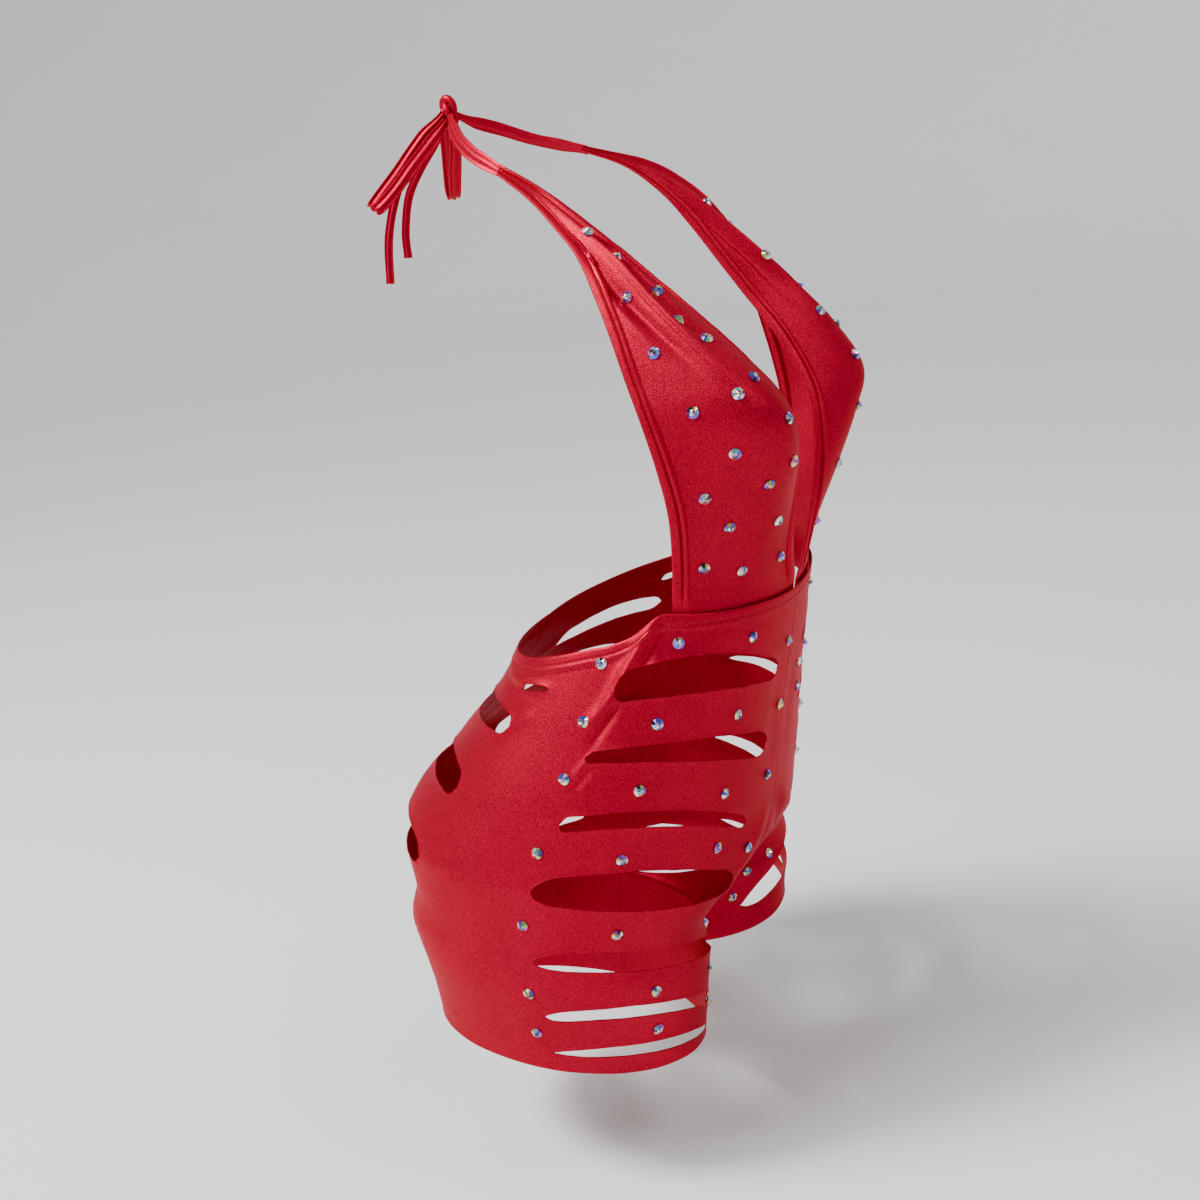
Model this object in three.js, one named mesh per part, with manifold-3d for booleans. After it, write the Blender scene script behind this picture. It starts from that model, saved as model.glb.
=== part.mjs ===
// Rhinestone romper: a halter-neck stage romper of red stretch satin, slashed down both legs.
// Millimetres, +Z up. The front faces -Y and the wearer's left is +X.
// The origin is at the nape, inside the neck tie, where the wearer holds the garment up.
// It keeps the hollow form of a general figure. The tables count heights from the crotch.
import * as THREE from 'three';
import { mergeVertices } from 'three/addons/utils/BufferGeometryUtils.js';
import Module from 'manifold-3d';

const wasm = await Module();
wasm.setup();

const WALL = 1.4; // cloth, doubled at the turned waist
const SEAM = 0.3; // left open between two pieces that are sewn together
const NAPE = new THREE.Vector3(0, 78, 580); // the origin, in the tables' heights
const RIGHT = -1;
const LEFT = 1;
const { lerp, clamp, degToRad, smoothstep } = THREE.MathUtils;

function rows(names, values) {
  return values.map((row) => Object.fromEntries(names.map((name, k) => [name, row[k]])));
}

// Sections of the hips and waist, square to the body: s is the height along it,
// y the middle, tilt in degrees, then the half width and the depths to front and back.
const TORSO = rows(['s', 'y', 'tilt', 'half', 'front', 'back'], [
  [-95, 14, 3, 178, 117, 134],
  [0, 13, 7, 178, 117, 136],
  [60, 11, 7, 178, 129, 150],
  [120, -11, 5, 167, 115, 127],
  [180, -33, 5, 147, 103, 98],
  [262, -56, 8, 115, 96, 77],
]);
const SQUARENESS = 2.3; // of the superellipse that rounds a section

// Sections of one thigh, which the torso sections grow out of.
const THIGH = rows(['s', 'half', 'front', 'back'], [
  [-95, 77, 95, 107],
  [-45, 83, 101, 114],
  [0, 90, 105, 124],
  [100, 90, 106, 128],
]);
const THIGH_MIDDLE = 90;
const CROTCH_RISE = { front: 78, back: 110 }; // height at which the thighs have become one torso
const SOFT_RISE = 0.35; // share of that rise over which the outer side of a thigh swells into the hip

// The upper edge dips to the back: t runs round one side, 0 at the front seam, 1 at the back seam.
const WAIST_EDGE = rows(['t', 's'], [
  [0, 257], [0.2, 261], [0.385, 261], [0.45, 243], [0.52, 232], [0.6, 223], [0.7, 214], [0.85, 206], [1, 203],
]);
// The hem rides up over the side of the thigh, and the left leg is worn a little higher.
const HEM = { right: -87, left: -66, rise: 18 };
const SIDE_SPLIT = 0.54; // plain strip down the side where the front and back slashes both stop
const SEAM_T = 0.0003; // half of a seam's gap, as a share of the way round

// Slashes of the front: where each starts and ends round the leg, its height at both ends
// and in the middle, half its width, and how much wider it is towards the front.
const SLASH_NAMES = ['from', 'to', 'sFrom', 'sMiddle', 'sTo', 'half', 'lean'];
const SLASHES_RIGHT = rows(SLASH_NAMES, [
  [0.035, 0.445, 194, 219, 209, 13, 0],
  [0.04, 0.46, 140, 168, 166, 6.5, 0.55],
  [0.085, 0.465, 96, 123.5, 121, 5.3, 0],
  [0.1, 0.475, 51, 76, 76, 14, 0.15],
  [0.15, 0.475, -11, 20, 22, 8.3, 0.2],
  [0.18, 0.47, -50, -19, -18, 4.6, -0.25],
  [0.2, 0.47, -72, -54, -52, 4.6, -0.1],
]);
const SLASHES_LEFT = rows(SLASH_NAMES, [
  [0.07, 0.445, 198, 219, 209, 13, 0],
  [0.09, 0.46, 146, 168, 166, 6.5, 0.3],
  [0.1, 0.465, 100, 123.5, 121, 5.3, 0],
  [0.12, 0.475, 56, 76, 76, 13, 0.15],
  [0.22, 0.475, 26, 42, 42, 6, 0.1],
  [0.156, 0.47, -34, -8, -14, 14.5, 0.35],
  [0.32, 0.47, -38, -36, -35, 3.4, 0],
]);
const BACK_SLASHES = rows(SLASH_NAMES, [
  [0.575, 0.66, 204, 201, 197, 2.4, 0],
  [0.645, 0.9, 173, 168, 160, 9, 0.1],
  [0.69, 0.91, 124, 120, 112, 11, 0],
  [0.675, 0.91, 68, 66, 60, 12, 0],
  [0.66, 0.88, -4, 2, 0, 7.5, 0],
  [0.66, 0.86, -38, -35, -36, 4.6, 0],
]);

// Stones on the solid strips of the front, from the waist down: share of the way round, and height.
const STONE = { radius: 4, height: 3.4, sides: 5, sunk: 1.2 };
const LEG_STONES_RIGHT = rows(['t', 's'], [
  [0.009, 213], [0.15, 236], [0.34, 242], [0.485, 226],
  [0.009, 163], [0.15, 180], [0.34, 189], [0.485, 189],
  [0.029, 114], [0.15, 125], [0.34, 146], [0.485, 152],
  [0.074, 73], [0.15, 88], [0.34, 100], [0.485, 102],
  [0.16, 7], [0.34, 46], [0.485, 49],
  [0.22, -18], [0.34, -3], [0.485, -3],
  [0.19, -60], [0.34, -37], [0.485, -38],
]);
const LEG_STONES_LEFT = rows(['t', 's'], [
  [0.15, 236], [0.34, 242], [0.485, 226],
  [0.066, 180], [0.073, 158], [0.15, 180], [0.34, 189], [0.485, 189],
  [0.15, 127], [0.34, 146], [0.485, 152],
  [0.15, 88], [0.34, 101], [0.485, 102],
  [0.205, 3], [0.34, 55.5], [0.485, 56],
  [0.142, -24], [0.166, -3], [0.34, 20], [0.485, 16], [0.485, -26],
]);

// The bibs, one row for a section from the waist to the neck: the edge beside the plunge,
// the edge beside the arm, how far the cup stands out between them, and where it peaks.
const BIB_NAMES = ['ix', 'iy', 'iz', 'ox', 'oy', 'oz', 'cup', 'peak'];
const BIB_RIGHT = rows(BIB_NAMES, [
  [-3, -149, 238, -104, -96, 246, 17, 0.52],
  [-11, -151, 268, -106, -100, 284, 17, 0.5],
  [-22, -156, 312, -114, -104, 322, 26, 0.42],
  [-32, -160, 350, -120, -101, 356, 40, 0.36],
  [-39, -157, 384, -119, -92, 388, 49, 0.34],
  [-45, -137, 412, -114, -82, 413, 45, 0.34],
  [-50, -111, 440, -107, -71, 440, 33, 0.38],
  [-54, -86, 465, -99, -60, 462, 21, 0.42],
  [-56, -60, 490, -88, -44, 489, 12, 0.45],
  [-56, -34, 512, -77, -24, 508, 6, 0.5],
  [-53, -4, 533, -66, -2, 526, 3, 0.5],
  [-46, 27, 549, -54, 26, 543, 1, 0.5],
]);
const BIB_LEFT = rows(BIB_NAMES, [
  [3, -149, 238, 104, -96, 246, 17, 0.52],
  [12, -152, 268, 106, -101, 284, 17, 0.5],
  [24, -157, 312, 114, -106, 322, 27, 0.42],
  [35, -156, 352, 120, -104, 354, 41, 0.36],
  [43, -147, 381, 120, -99, 384, 54, 0.34],
  [49, -126, 416, 115, -93, 416, 48, 0.33],
  [54, -103, 444, 109, -88, 444, 38, 0.36],
  [57, -84, 468, 104, -84, 466, 29, 0.4],
  [58, -66, 492, 97, -74, 492, 18, 0.45],
  [57, -46, 516, 87, -60, 516, 9, 0.5],
  [54, -20, 537, 74, -34, 537, 4, 0.5],
  [47, 12, 551, 58, 6, 551, 1, 0.5],
]);
// The gathers that run down from the neck and die out above the cup: where each lies across
// the bib at the neck and at the cup, how far it stands out (down if minus), and its width.
const GATHERS = rows(['atNeck', 'atCup', 'height', 'width'], [
  [0.5, 0.42, 3, 0.13],
  [0.74, 0.62, -2, 0.1],
]);
const GATHER_ROWS = { none: 4.6, full: 7.2, fading: 7.6, gone: 9.6 };
// Stones on the bibs: row of the bib's table, and share of the way from the plunge to the arm.
const BIB_STONES_RIGHT = rows(['row', 'across'], [
  [8.7, 0.54], [7.9, 0.45], [7, 0.7], [7, 0.3], [6.3, 0.45], [5.6, 0.78], [5.8, 0.32],
  [4.9, 0.24], [4.6, 0.45], [4.2, 0.74], [3.9, 0.21], [3.3, 0.61], [3, 0.23], [2.6, 0.43], [2.4, 0.8],
  [1.8, 0.3], [1.8, 0.67], [1.1, 0.2], [1.05, 0.82], [0.95, 0.57],
]);
const BIB_STONES_LEFT = rows(['row', 'across'], [
  [8.6, 0.5], [7.9, 0.66], [7, 0.3], [6.9, 0.62], [6, 0.8], [5.9, 0.4], [5.3, 0.2], [4.9, 0.36],
  [4.8, 0.72], [4.3, 0.2], [4, 0.55], [3.4, 0.8], [3.1, 0.26], [2.9, 0.5], [2.3, 0.72], [2.1, 0.22],
  [1.8, 0.46], [1.2, 0.75], [1.15, 0.27], [0.95, 0.5],
]);
const TUCK = { depth: 8, from: 0.005, to: 0.37, clear: 0.9 }; // the bib ends behind the waist edge
const BINDING = rows(['row', 'width'], [[0, 12], [8, 11], [9, 7.6], [10, 5.6], [11, 4.9]]);
// How far the binding stands off the cloth across its width, from the free edge inwards:
// a flat band, the sunk line of stitches, then the rolled ridge.
const BINDING_SECTION = rows(['across', 'raise'], [
  [0, 0.7], [0.55, 0.9], [0.62, 0.3], [0.8, 1.5], [1, 0.5],
]);
// The ties and the bow, each a flat band through points chosen by hand, in the tables' heights.
const KNOT = { middle: [0, 88, 586], half: [7.5, 7.5, 9.5] };
const PINCH = { share: 0.5, from: 8, to: 26 }; // a band is drawn together as it enters the knot
const TIES = [
  {
    name: 'neck_tie_right', width: 10.4, thick: 2.2, steps: 14, under: [0.75, -0.35, -0.55],
    points: [
      [-49.1, 29.3, 547.3], [-45, 41, 553], [-37, 55, 560], [-25, 69, 569], [-13, 79, 577], [-4, 85, 584],
    ],
  },
  {
    name: 'neck_tie_left', width: 10.4, thick: 2.2, steps: 14, under: [-0.75, -0.35, -0.55],
    points: [
      [51.8, 11.6, 552], [50, 27, 556], [43, 46, 562], [30, 64, 571], [15, 77, 578], [5, 85, 584],
    ],
  },
];
const BOW = [
  {
    name: 'bow_loop_right', width: 9.6, thick: 2.2, steps: 24, wide: [0.34, -0.62, -0.68],
    points: [
      [-3.5, 90.5, 586], [-12, 100.5, 574.5], [-21.9, 110.1, 560.5], [-31.5, 116.9, 548.6], [-41.4, 124.2, 536.7],
      [-49.5, 129.5, 527], [-52, 122.5, 527], [-42.5, 113.2, 538.5], [-31.5, 105.7, 551.3], [-20, 98, 563.5],
      [-4.5, 88.5, 581],
    ],
  },
  {
    name: 'bow_loop_left', width: 9.6, thick: 2.2, steps: 24, wide: [-0.79, 0.58, -0.1],
    points: [
      [4, 90.5, 587], [16, 102, 579], [33, 112, 562], [47, 121, 546], [57, 127, 532], [61, 128, 524],
      [54, 122, 525], [40, 112, 539], [25, 101, 556], [15, 94, 568], [5, 89, 579],
    ],
  },
  {
    name: 'bow_tail_right', width: 6.4, thick: 2, steps: 14, under: [0.87, 0.45, 0.13],
    points: [
      [-2.3, 92, 581], [-3.2, 106.8, 570], [-5.3, 123.9, 552.5], [-7.7, 135.8, 531.4],
      [-12.3, 143.5, 502.1], [-16, 145, 469],
    ],
  },
  {
    name: 'bow_tail_left', width: 6.4, thick: 2, steps: 14, under: [0.87, 0.45, 0.13],
    points: [
      [1.2, 93, 580], [2.9, 105, 565], [6.1, 120.2, 549.3], [7.5, 134.2, 529.2],
      [9.4, 142, 503.9], [11.7, 144, 484.5],
    ],
  },
];
const LAST_ROW = 11;
const PANEL_TOP = 10.4; // the cloth between the bindings ends here, gathered to nothing
const BIB_ROWS = [0, 0.35, 0.6, 1, 1.6, 2.2, 2.8, 3.4, 4, 4.6, 5.2, 5.8, 6.4, 7, 7.6, 8.2, 8.8, 9.4, 10];

// A smooth curve through one column of a table that never overshoots its rows.
function along(table, by, key, x) {
  const last = table.length - 1;
  const at = clamp(x, table[0][by], table[last][by]);
  let k = 0;
  while (k < last - 1 && at > table[k + 1][by]) k += 1;
  const step = (i) => table[i + 1][by] - table[i][by];
  const slope = (i) => (table[i + 1][key] - table[i][key]) / step(i);
  const tangent = (i) => {
    if (i === 0) return slope(0);
    if (i === last) return slope(last - 1);
    const product = slope(i - 1) * slope(i);
    return product <= 0 ? 0 : (2 * product) / (slope(i - 1) + slope(i));
  };
  const f = (at - table[k][by]) / step(k);
  const rise = table[k + 1][key] - table[k][key];
  const start = tangent(k) * step(k);
  const end = tangent(k + 1) * step(k);
  return table[k][key] + f * (start + f * (3 * rise - 2 * start - end + f * (start + end - 2 * rise)));
}

const signedPower = (value, power) => Math.sign(value) * Math.abs(value) ** power;

// A point of the shorts: s is the height along the body, t the way round one side.
function shortsPoint(s, t, side) {
  const up = Math.max(s, 0);
  const turn = Math.PI * t;
  const power = 2 / SQUARENESS;
  const facing = -Math.cos(turn);
  const depth = facing < 0 ? along(TORSO, 's', 'front', up) : along(TORSO, 's', 'back', up);
  const torsoX = along(TORSO, 's', 'half', up) * signedPower(Math.sin(turn), power);
  const torsoY = depth * signedPower(facing, power);
  const legSine = Math.sin(2 * turn);
  const legDepth = along(THIGH, 's', legSine > 0 ? 'front' : 'back', s);
  const legX = THIGH_MIDDLE - along(THIGH, 's', 'half', s) * Math.cos(2 * turn);
  const legY = -legDepth * legSine;
  const risen = clamp(s / lerp(CROTCH_RISE.front, CROTCH_RISE.back, t), 0, 1);
  const rounded = Math.sqrt(1 - (1 - risen) ** 2);
  const innerLeg = ((1 + Math.cos(2 * turn)) / 2) ** 2;
  const torsoShare = rounded * lerp(smoothstep(risen, 0, SOFT_RISE), 1, innerLeg);
  const x = lerp(legX, torsoX, torsoShare) + SEAM / 2;
  const y = lerp(legY, torsoY, torsoShare);
  const tilt = degToRad(along(TORSO, 's', 'tilt', s));
  const middle = along(TORSO, 's', 'y', s);
  return new THREE.Vector3(side * x, middle + y * Math.cos(tilt), s + y * Math.sin(tilt)).sub(NAPE);
}

const hemHeight = (t, side) => (side === RIGHT ? HEM.right : HEM.left) + HEM.rise * Math.sin(Math.PI * t) ** 2;
const waistHeight = (t) => along(WAIST_EDGE, 't', 's', t);

// The outward normal of a surface point(a, b), where turn is +1 if a x b faces outwards.
function normalOf(point, a, b, turn, stepA = 1e-3, stepB = 1e-3) {
  const alongA = point(a + stepA, b).sub(point(a - stepA, b)).normalize();
  const alongB = point(a, b + stepB).sub(point(a, b - stepB)).normalize();
  return alongA.cross(alongB).normalize().multiplyScalar(turn);
}

const shortsNormal = (s, t, side) => normalOf((a, b) => shortsPoint(b, a, side), t, s, side, 5e-3, 2);

// One row of a bib's table, or a smooth blend of the rows around it.
function bibRow(table, row) {
  const last = table.length - 1;
  const k = clamp(Math.floor(row), 0, last - 1);
  const f = row - k;
  const blended = {};
  for (const name of BIB_NAMES) {
    const p1 = table[k][name];
    const p2 = table[k + 1][name];
    const p0 = k > 0 ? table[k - 1][name] : 2 * p1 - p2;
    const p3 = k < last - 1 ? table[k + 2][name] : 2 * p2 - p1;
    const bend = 2 * p0 - 5 * p1 + 4 * p2 - p3;
    blended[name] = 0.5 * (2 * p1 + f * (p2 - p0 + f * (bend + f * (3 * p1 - p0 - 3 * p2 + p3))));
  }
  return blended;
}

function gatherHeight(row, across) {
  const share = smoothstep(row, GATHER_ROWS.none, GATHER_ROWS.full);
  const narrowing = 1 - smoothstep(row, GATHER_ROWS.fading, GATHER_ROWS.gone);
  let height = 0;
  for (const fold of GATHERS) {
    const middle = lerp(fold.atCup, fold.atNeck, (row - GATHER_ROWS.none) / (LAST_ROW - GATHER_ROWS.none));
    height += fold.height * Math.exp(-(((across - middle) / fold.width) ** 2));
  }
  return height * share * narrowing;
}

// A point of a bib. Its foot follows the shorts, one wall further in.
function bibPoint(table, side, row, across) {
  const section = bibRow(table, row);
  const inner = new THREE.Vector3(section.ix, section.iy, section.iz);
  const chord = new THREE.Vector3(section.ox, section.oy, section.oz).sub(inner);
  const out = new THREE.Vector3(chord.y, -chord.x, 0).multiplyScalar(side).normalize();
  const even = clamp(across, 0, 1) ** (Math.log(0.5) / Math.log(section.peak));
  const stand = section.cup * Math.sin(Math.PI * even) ** 0.92 + gatherHeight(row, across);
  const free = inner.addScaledVector(chord, across).addScaledVector(out, stand).sub(NAPE);
  if (row >= 1) return free;
  const t = lerp(TUCK.from, TUCK.to, across);
  const s = waistHeight(t) - TUCK.depth + row * 30;
  const foot = shortsPoint(s, t, side).addScaledVector(shortsNormal(s, t, side), -(WALL + TUCK.clear));
  return foot.lerp(free, smoothstep(row, 0.3, 1));
}

const bibNormal = (table, side, row, across) => normalOf(
  (a, b) => bibPoint(table, side, b, a), across, row, side, 5e-3, 0.05);

// The share across a bib at which the cloth has run a distance from one of its edges.
function acrossAt(table, side, row, distance, fromArm) {
  const steps = 60;
  let run = 0;
  let before = bibPoint(table, side, row, fromArm ? 1 : 0);
  for (let k = 1; k <= steps; k += 1) {
    const share = k / steps;
    const next = bibPoint(table, side, row, fromArm ? 1 - share : share);
    const length = next.distanceTo(before);
    if (run + length >= distance) {
      const exact = (k - 1 + (distance - run) / length) / steps;
      return fromArm ? 1 - exact : exact;
    }
    run += length;
    before = next;
  }
  return fromArm ? 0 : 1;
}

// A closed wall over a grid of points. The outer face is the points raised along the normal,
// the inner face lies one wall below the points, and turn is +1 where a x b faces outwards.
function sheet(point, as, bs, turn, { wall = WALL, raise = () => 0, facing = null } = {}) {
  const grid = as.map((a) => bs.map((b) => point(a, b)));
  const na = as.length;
  const nb = bs.length;
  const at = (i, j) => grid[clamp(i, 0, na - 1)][clamp(j, 0, nb - 1)];
  const outer = [];
  const inner = [];
  for (let i = 0; i < na; i += 1) {
    for (let j = 0; j < nb; j += 1) {
      const across = at(i + 1, j).clone().sub(at(i - 1, j));
      const up = at(i, j + 1).clone().sub(at(i, j - 1));
      const normal = facing ? facing(as[i], bs[j]) : across.cross(up).normalize().multiplyScalar(turn);
      outer.push(...at(i, j).clone().addScaledVector(normal, raise(as[i], bs[j])).toArray());
      inner.push(...at(i, j).clone().addScaledVector(normal, -wall).toArray());
    }
  }
  const faces = [];
  const lower = na * nb;
  const quad = (p, q, r, s) => faces.push(p, q, r, p, r, s);
  for (let i = 0; i < na - 1; i += 1) {
    for (let j = 0; j < nb - 1; j += 1) {
      const corner = i * nb + j;
      const next = corner + nb;
      quad(corner, next, next + 1, corner + 1);
      quad(lower + corner, lower + corner + 1, lower + next + 1, lower + next);
    }
  }
  for (let i = 0; i < na - 1; i += 1) {
    const foot = i * nb;
    const head = foot + nb - 1;
    quad(lower + foot, lower + foot + nb, foot + nb, foot);
    quad(head, head + nb, lower + head + nb, lower + head);
  }
  for (let j = 0; j < nb - 1; j += 1) {
    const start = j;
    const end = (na - 1) * nb + j;
    quad(start, start + 1, lower + start + 1, lower + start);
    quad(end + 1, end, lower + end, lower + end + 1);
  }
  return closedGeometry([...outer, ...inner], turn > 0 ? faces : faces.reverse());
}

function closedGeometry(positions, faces) {
  const geometry = new THREE.BufferGeometry();
  geometry.setAttribute('position', new THREE.Float32BufferAttribute(positions, 3));
  geometry.setIndex(faces);
  return geometry;
}

function toSolid(geometry) {
  const bare = geometry.clone();
  bare.deleteAttribute('normal');
  bare.deleteAttribute('uv');
  const merged = mergeVertices(bare);
  return new wasm.Manifold(new wasm.Mesh({
    numProp: 3,
    vertProperties: new Float32Array(merged.attributes.position.array),
    triVerts: new Uint32Array(merged.index.array),
  }));
}

function toGeometry(solid) {
  const mesh = solid.getMesh();
  return closedGeometry(Array.from(mesh.vertProperties), Array.from(mesh.triVerts));
}

// The closed block that cuts one slash: a pointed oval on the cloth, carried through it.
function slashCutter(slash, side) {
  const steps = 7;
  const reach = 7;
  const rim = [];
  const rimPoint = (share, edge) => {
    const t = lerp(slash.from, slash.to, share);
    const bend = 2 * (slash.sFrom + slash.sTo) - 4 * slash.sMiddle;
    const middle = slash.sFrom + share * (slash.sTo - slash.sFrom - bend * (1 - share));
    const half = slash.half * Math.sin(Math.PI * share) ** 0.5 * (1 + slash.lean * (1 - 2 * share));
    const s = middle + edge * half;
    return { point: shortsPoint(s, t, side), normal: shortsNormal(s, t, side) };
  };
  for (let k = 0; k <= steps; k += 1) rim.push(rimPoint((1 - Math.cos((Math.PI * k) / steps)) / 2, 1));
  for (let k = steps - 1; k > 0; k -= 1) rim.push(rimPoint((1 - Math.cos((Math.PI * k) / steps)) / 2, -1));
  const count = rim.length;
  const positions = [];
  for (const depth of [reach, -reach]) {
    for (const { point, normal } of rim) {
      positions.push(...point.clone().addScaledVector(normal, depth).toArray());
    }
  }
  const faces = [];
  for (let k = 0; k < count; k += 1) {
    const next = (k + 1) % count;
    faces.push(k, count + k, next, next, count + k, count + next);
  }
  for (let k = 0; k < steps; k += 1) {
    const upper = [k, k + 1];
    const lower = [(count - k) % count, count - k - 1];
    if (k < steps - 1) faces.push(upper[0], upper[1], lower[1]);
    if (k > 0) faces.push(upper[0], lower[1], lower[0]);
  }
  const front = faces.slice(count * 6);
  for (let k = 0; k < front.length; k += 3) {
    faces.push(count + front[k], count + front[k + 2], count + front[k + 1]);
  }
  return closedGeometry(positions, side > 0 ? faces.reverse() : faces);
}

// A stone: a low cone, its foot sunk in the cloth.
function stoneGeometry(point, normal) {
  const cone = new THREE.ConeGeometry(STONE.radius, STONE.height + STONE.sunk, STONE.sides);
  cone.translate(0, (STONE.height - STONE.sunk) / 2, 0);
  cone.applyQuaternion(new THREE.Quaternion().setFromUnitVectors(new THREE.Vector3(0, 1, 0), normal));
  return cone.translate(point.x, point.y, point.z);
}

function withStones(solid, places) {
  return places.reduce((whole, { point, normal }) => whole.add(toSolid(stoneGeometry(point, normal))), solid);
}

const steps = (from, to, count) => Array.from({ length: count + 1 }, (_, k) => lerp(from, to, k / count));

// Rows from hem to waist, close together at the crotch and at the turned waist edge.
const SHORTS_ROWS = [
  0, 0.06, 0.12, 0.18, 0.22, 0.25, 0.262, 0.285, 0.33, 0.39, 0.46, 0.53, 0.6, 0.67, 0.74, 0.81, 0.88,
  0.93, 0.958, 0.962, 1,
];
const TURNED_EDGE = { from: 0.962, raise: 0.7 };
const FRONT_COLUMNS = [
  SEAM_T, 0.025, 0.06, 0.1, 0.145, 0.19, 0.235, 0.28, 0.325, 0.37, 0.41, 0.45, 0.495,
  SIDE_SPLIT - SEAM_T,
];
const BACK_COLUMNS = [
  SIDE_SPLIT + SEAM_T, 0.59, 0.64, 0.69, 0.74, 0.79, 0.84, 0.885, 0.93, 0.97, 1 - SEAM_T,
];

function legPanel(columns, slashes, stones, side) {
  const height = (t, row) => lerp(hemHeight(t, side), waistHeight(t), row);
  const point = (t, row) => shortsPoint(height(t, row), t, side);
  const facing = (t, row) => shortsNormal(height(t, row), t, side);
  const raise = (t, row) => (row >= TURNED_EDGE.from ? TURNED_EDGE.raise : 0);
  const wall = withStones(toSolid(sheet(point, columns, SHORTS_ROWS, side, { raise, facing })), stones);
  return slashes.reduce((cloth, slash) => cloth.subtract(toSolid(slashCutter(slash, side))), wall);
}

const legStones = (stones, side) => stones.map(({ t, s }) => ({
  point: shortsPoint(s, t, side),
  normal: shortsNormal(s, t, side),
}));

function bibPanel(table, stones, side) {
  const margin = (row) => along(BINDING, 'row', 'width', row) + 1.5 * SEAM;
  const place = (share, row) => {
    const from = acrossAt(table, side, row, margin(row), false);
    const to = acrossAt(table, side, row, margin(row), true);
    return lerp(from, to, share);
  };
  const point = (share, row) => bibPoint(table, side, row, place(share, row));
  const facing = (share, row) => bibNormal(table, side, row, place(share, row));
  const ups = [...BIB_ROWS, PANEL_TOP];
  const wall = toSolid(sheet(point, steps(0, 1, 8), ups, side, { facing }));
  const places = stones.map(({ row, across }) => ({
    point: bibPoint(table, side, row, across),
    normal: bibNormal(table, side, row, across),
  }));
  return withStones(wall, places);
}

function binding(table, fromArm, side) {
  const place = (share, row) => {
    const width = along(BINDING, 'row', 'width', row);
    return acrossAt(table, side, row, share * width, fromArm);
  };
  const point = (share, row) => bibPoint(table, side, row, place(share, row));
  const facing = (share, row) => bibNormal(table, side, row, place(share, row));
  const shares = BINDING_SECTION.map((place) => place.across);
  const raise = (share) => BINDING_SECTION.find((place) => place.across === share).raise;
  const ups = [...BIB_ROWS, PANEL_TOP, LAST_ROW];
  const lift = (share, row) => (row < 0.5 ? 0 : raise(share));
  return sheet(point, shares, ups, fromArm ? -side : side, { raise: lift, facing });
}

// A flat band through points. Its breadth is given, or its underside is turned to face the back.
function band({ points, width, thick, steps: count, under, wide }) {
  const curve = new THREE.CatmullRomCurve3(points.map((p) => new THREE.Vector3(...p).sub(NAPE)));
  const knot = new THREE.Vector3(...KNOT.middle).sub(NAPE);
  const breadth = (run) => {
    const tangent = curve.getTangentAt(run);
    if (under) return tangent.cross(new THREE.Vector3(...under)).normalize();
    const across = new THREE.Vector3(...wide);
    return across.addScaledVector(tangent, -across.dot(tangent)).normalize();
  };
  const place = (share, run) => {
    const middle = curve.getPointAt(run);
    const opened = smoothstep(middle.distanceTo(knot), PINCH.from, PINCH.to);
    return middle.addScaledVector(breadth(run), (share - 0.5) * width * lerp(PINCH.share, 1, opened));
  };
  const facing = (share, run) => curve.getTangentAt(run).cross(breadth(run)).normalize();
  const raise = (share) => (share === 0 || share === 1 ? 0 : thick * 0.25);
  return sheet(place, [0, 0.25, 0.75, 1], steps(0, 1, count), -1, { wall: thick, raise, facing });
}

function knotGeometry(clearance) {
  const lump = new THREE.SphereGeometry(1, 16, 10);
  const place = lump.attributes.position;
  const point = new THREE.Vector3();
  for (let k = 0; k < place.count; k += 1) {
    point.fromBufferAttribute(place, k);
    const around = Math.atan2(point.x, point.z);
    const wound = 1 + 0.09 * Math.cos(3 * around + 4 * point.y) * (1 - point.y ** 2);
    point.multiplyScalar(wound);
    place.setXYZ(k, ...KNOT.half.map((half, axis) => (
      KNOT.middle[axis] + point.getComponent(axis) * (half + clearance) - NAPE.getComponent(axis))));
  }
  return lump;
}

const group = new THREE.Group();
const satin = new THREE.MeshStandardMaterial({ color: 0xc81e32, roughness: 0.5, metalness: 0 });
const trim = new THREE.MeshStandardMaterial({ color: 0xb9182b, roughness: 0.45, metalness: 0 });

function addPiece(name, geometry, material) {
  const mesh = new THREE.Mesh(geometry, material);
  mesh.name = name;
  group.add(mesh);
}

for (const [side, hand] of [[RIGHT, 'right'], [LEFT, 'left']]) {
  const isRight = side === RIGHT;
  const slashes = isRight ? SLASHES_RIGHT : SLASHES_LEFT;
  const studs = legStones(isRight ? LEG_STONES_RIGHT : LEG_STONES_LEFT, side);
  const front = legPanel(FRONT_COLUMNS, slashes, studs, side);
  const back = legPanel(BACK_COLUMNS, BACK_SLASHES, [], side);
  addPiece(`shorts_front_${hand}`, toGeometry(front), satin);
  addPiece(`shorts_back_${hand}`, toGeometry(back), satin);
  const table = isRight ? BIB_RIGHT : BIB_LEFT;
  const stones = isRight ? BIB_STONES_RIGHT : BIB_STONES_LEFT;
  addPiece(`bib_${hand}`, toGeometry(bibPanel(table, stones, side)), satin);
  addPiece(`binding_plunge_${hand}`, binding(table, false, side), trim);
  addPiece(`binding_arm_${hand}`, binding(table, true, side), trim);
}

const knotRoom = toSolid(knotGeometry(SEAM));
addPiece('knot', toGeometry(toSolid(knotGeometry(0))), trim);
for (const strand of [...TIES, ...BOW]) {
  addPiece(strand.name, toGeometry(toSolid(band(strand)).subtract(knotRoom)), trim);
}

export default group;
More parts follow.
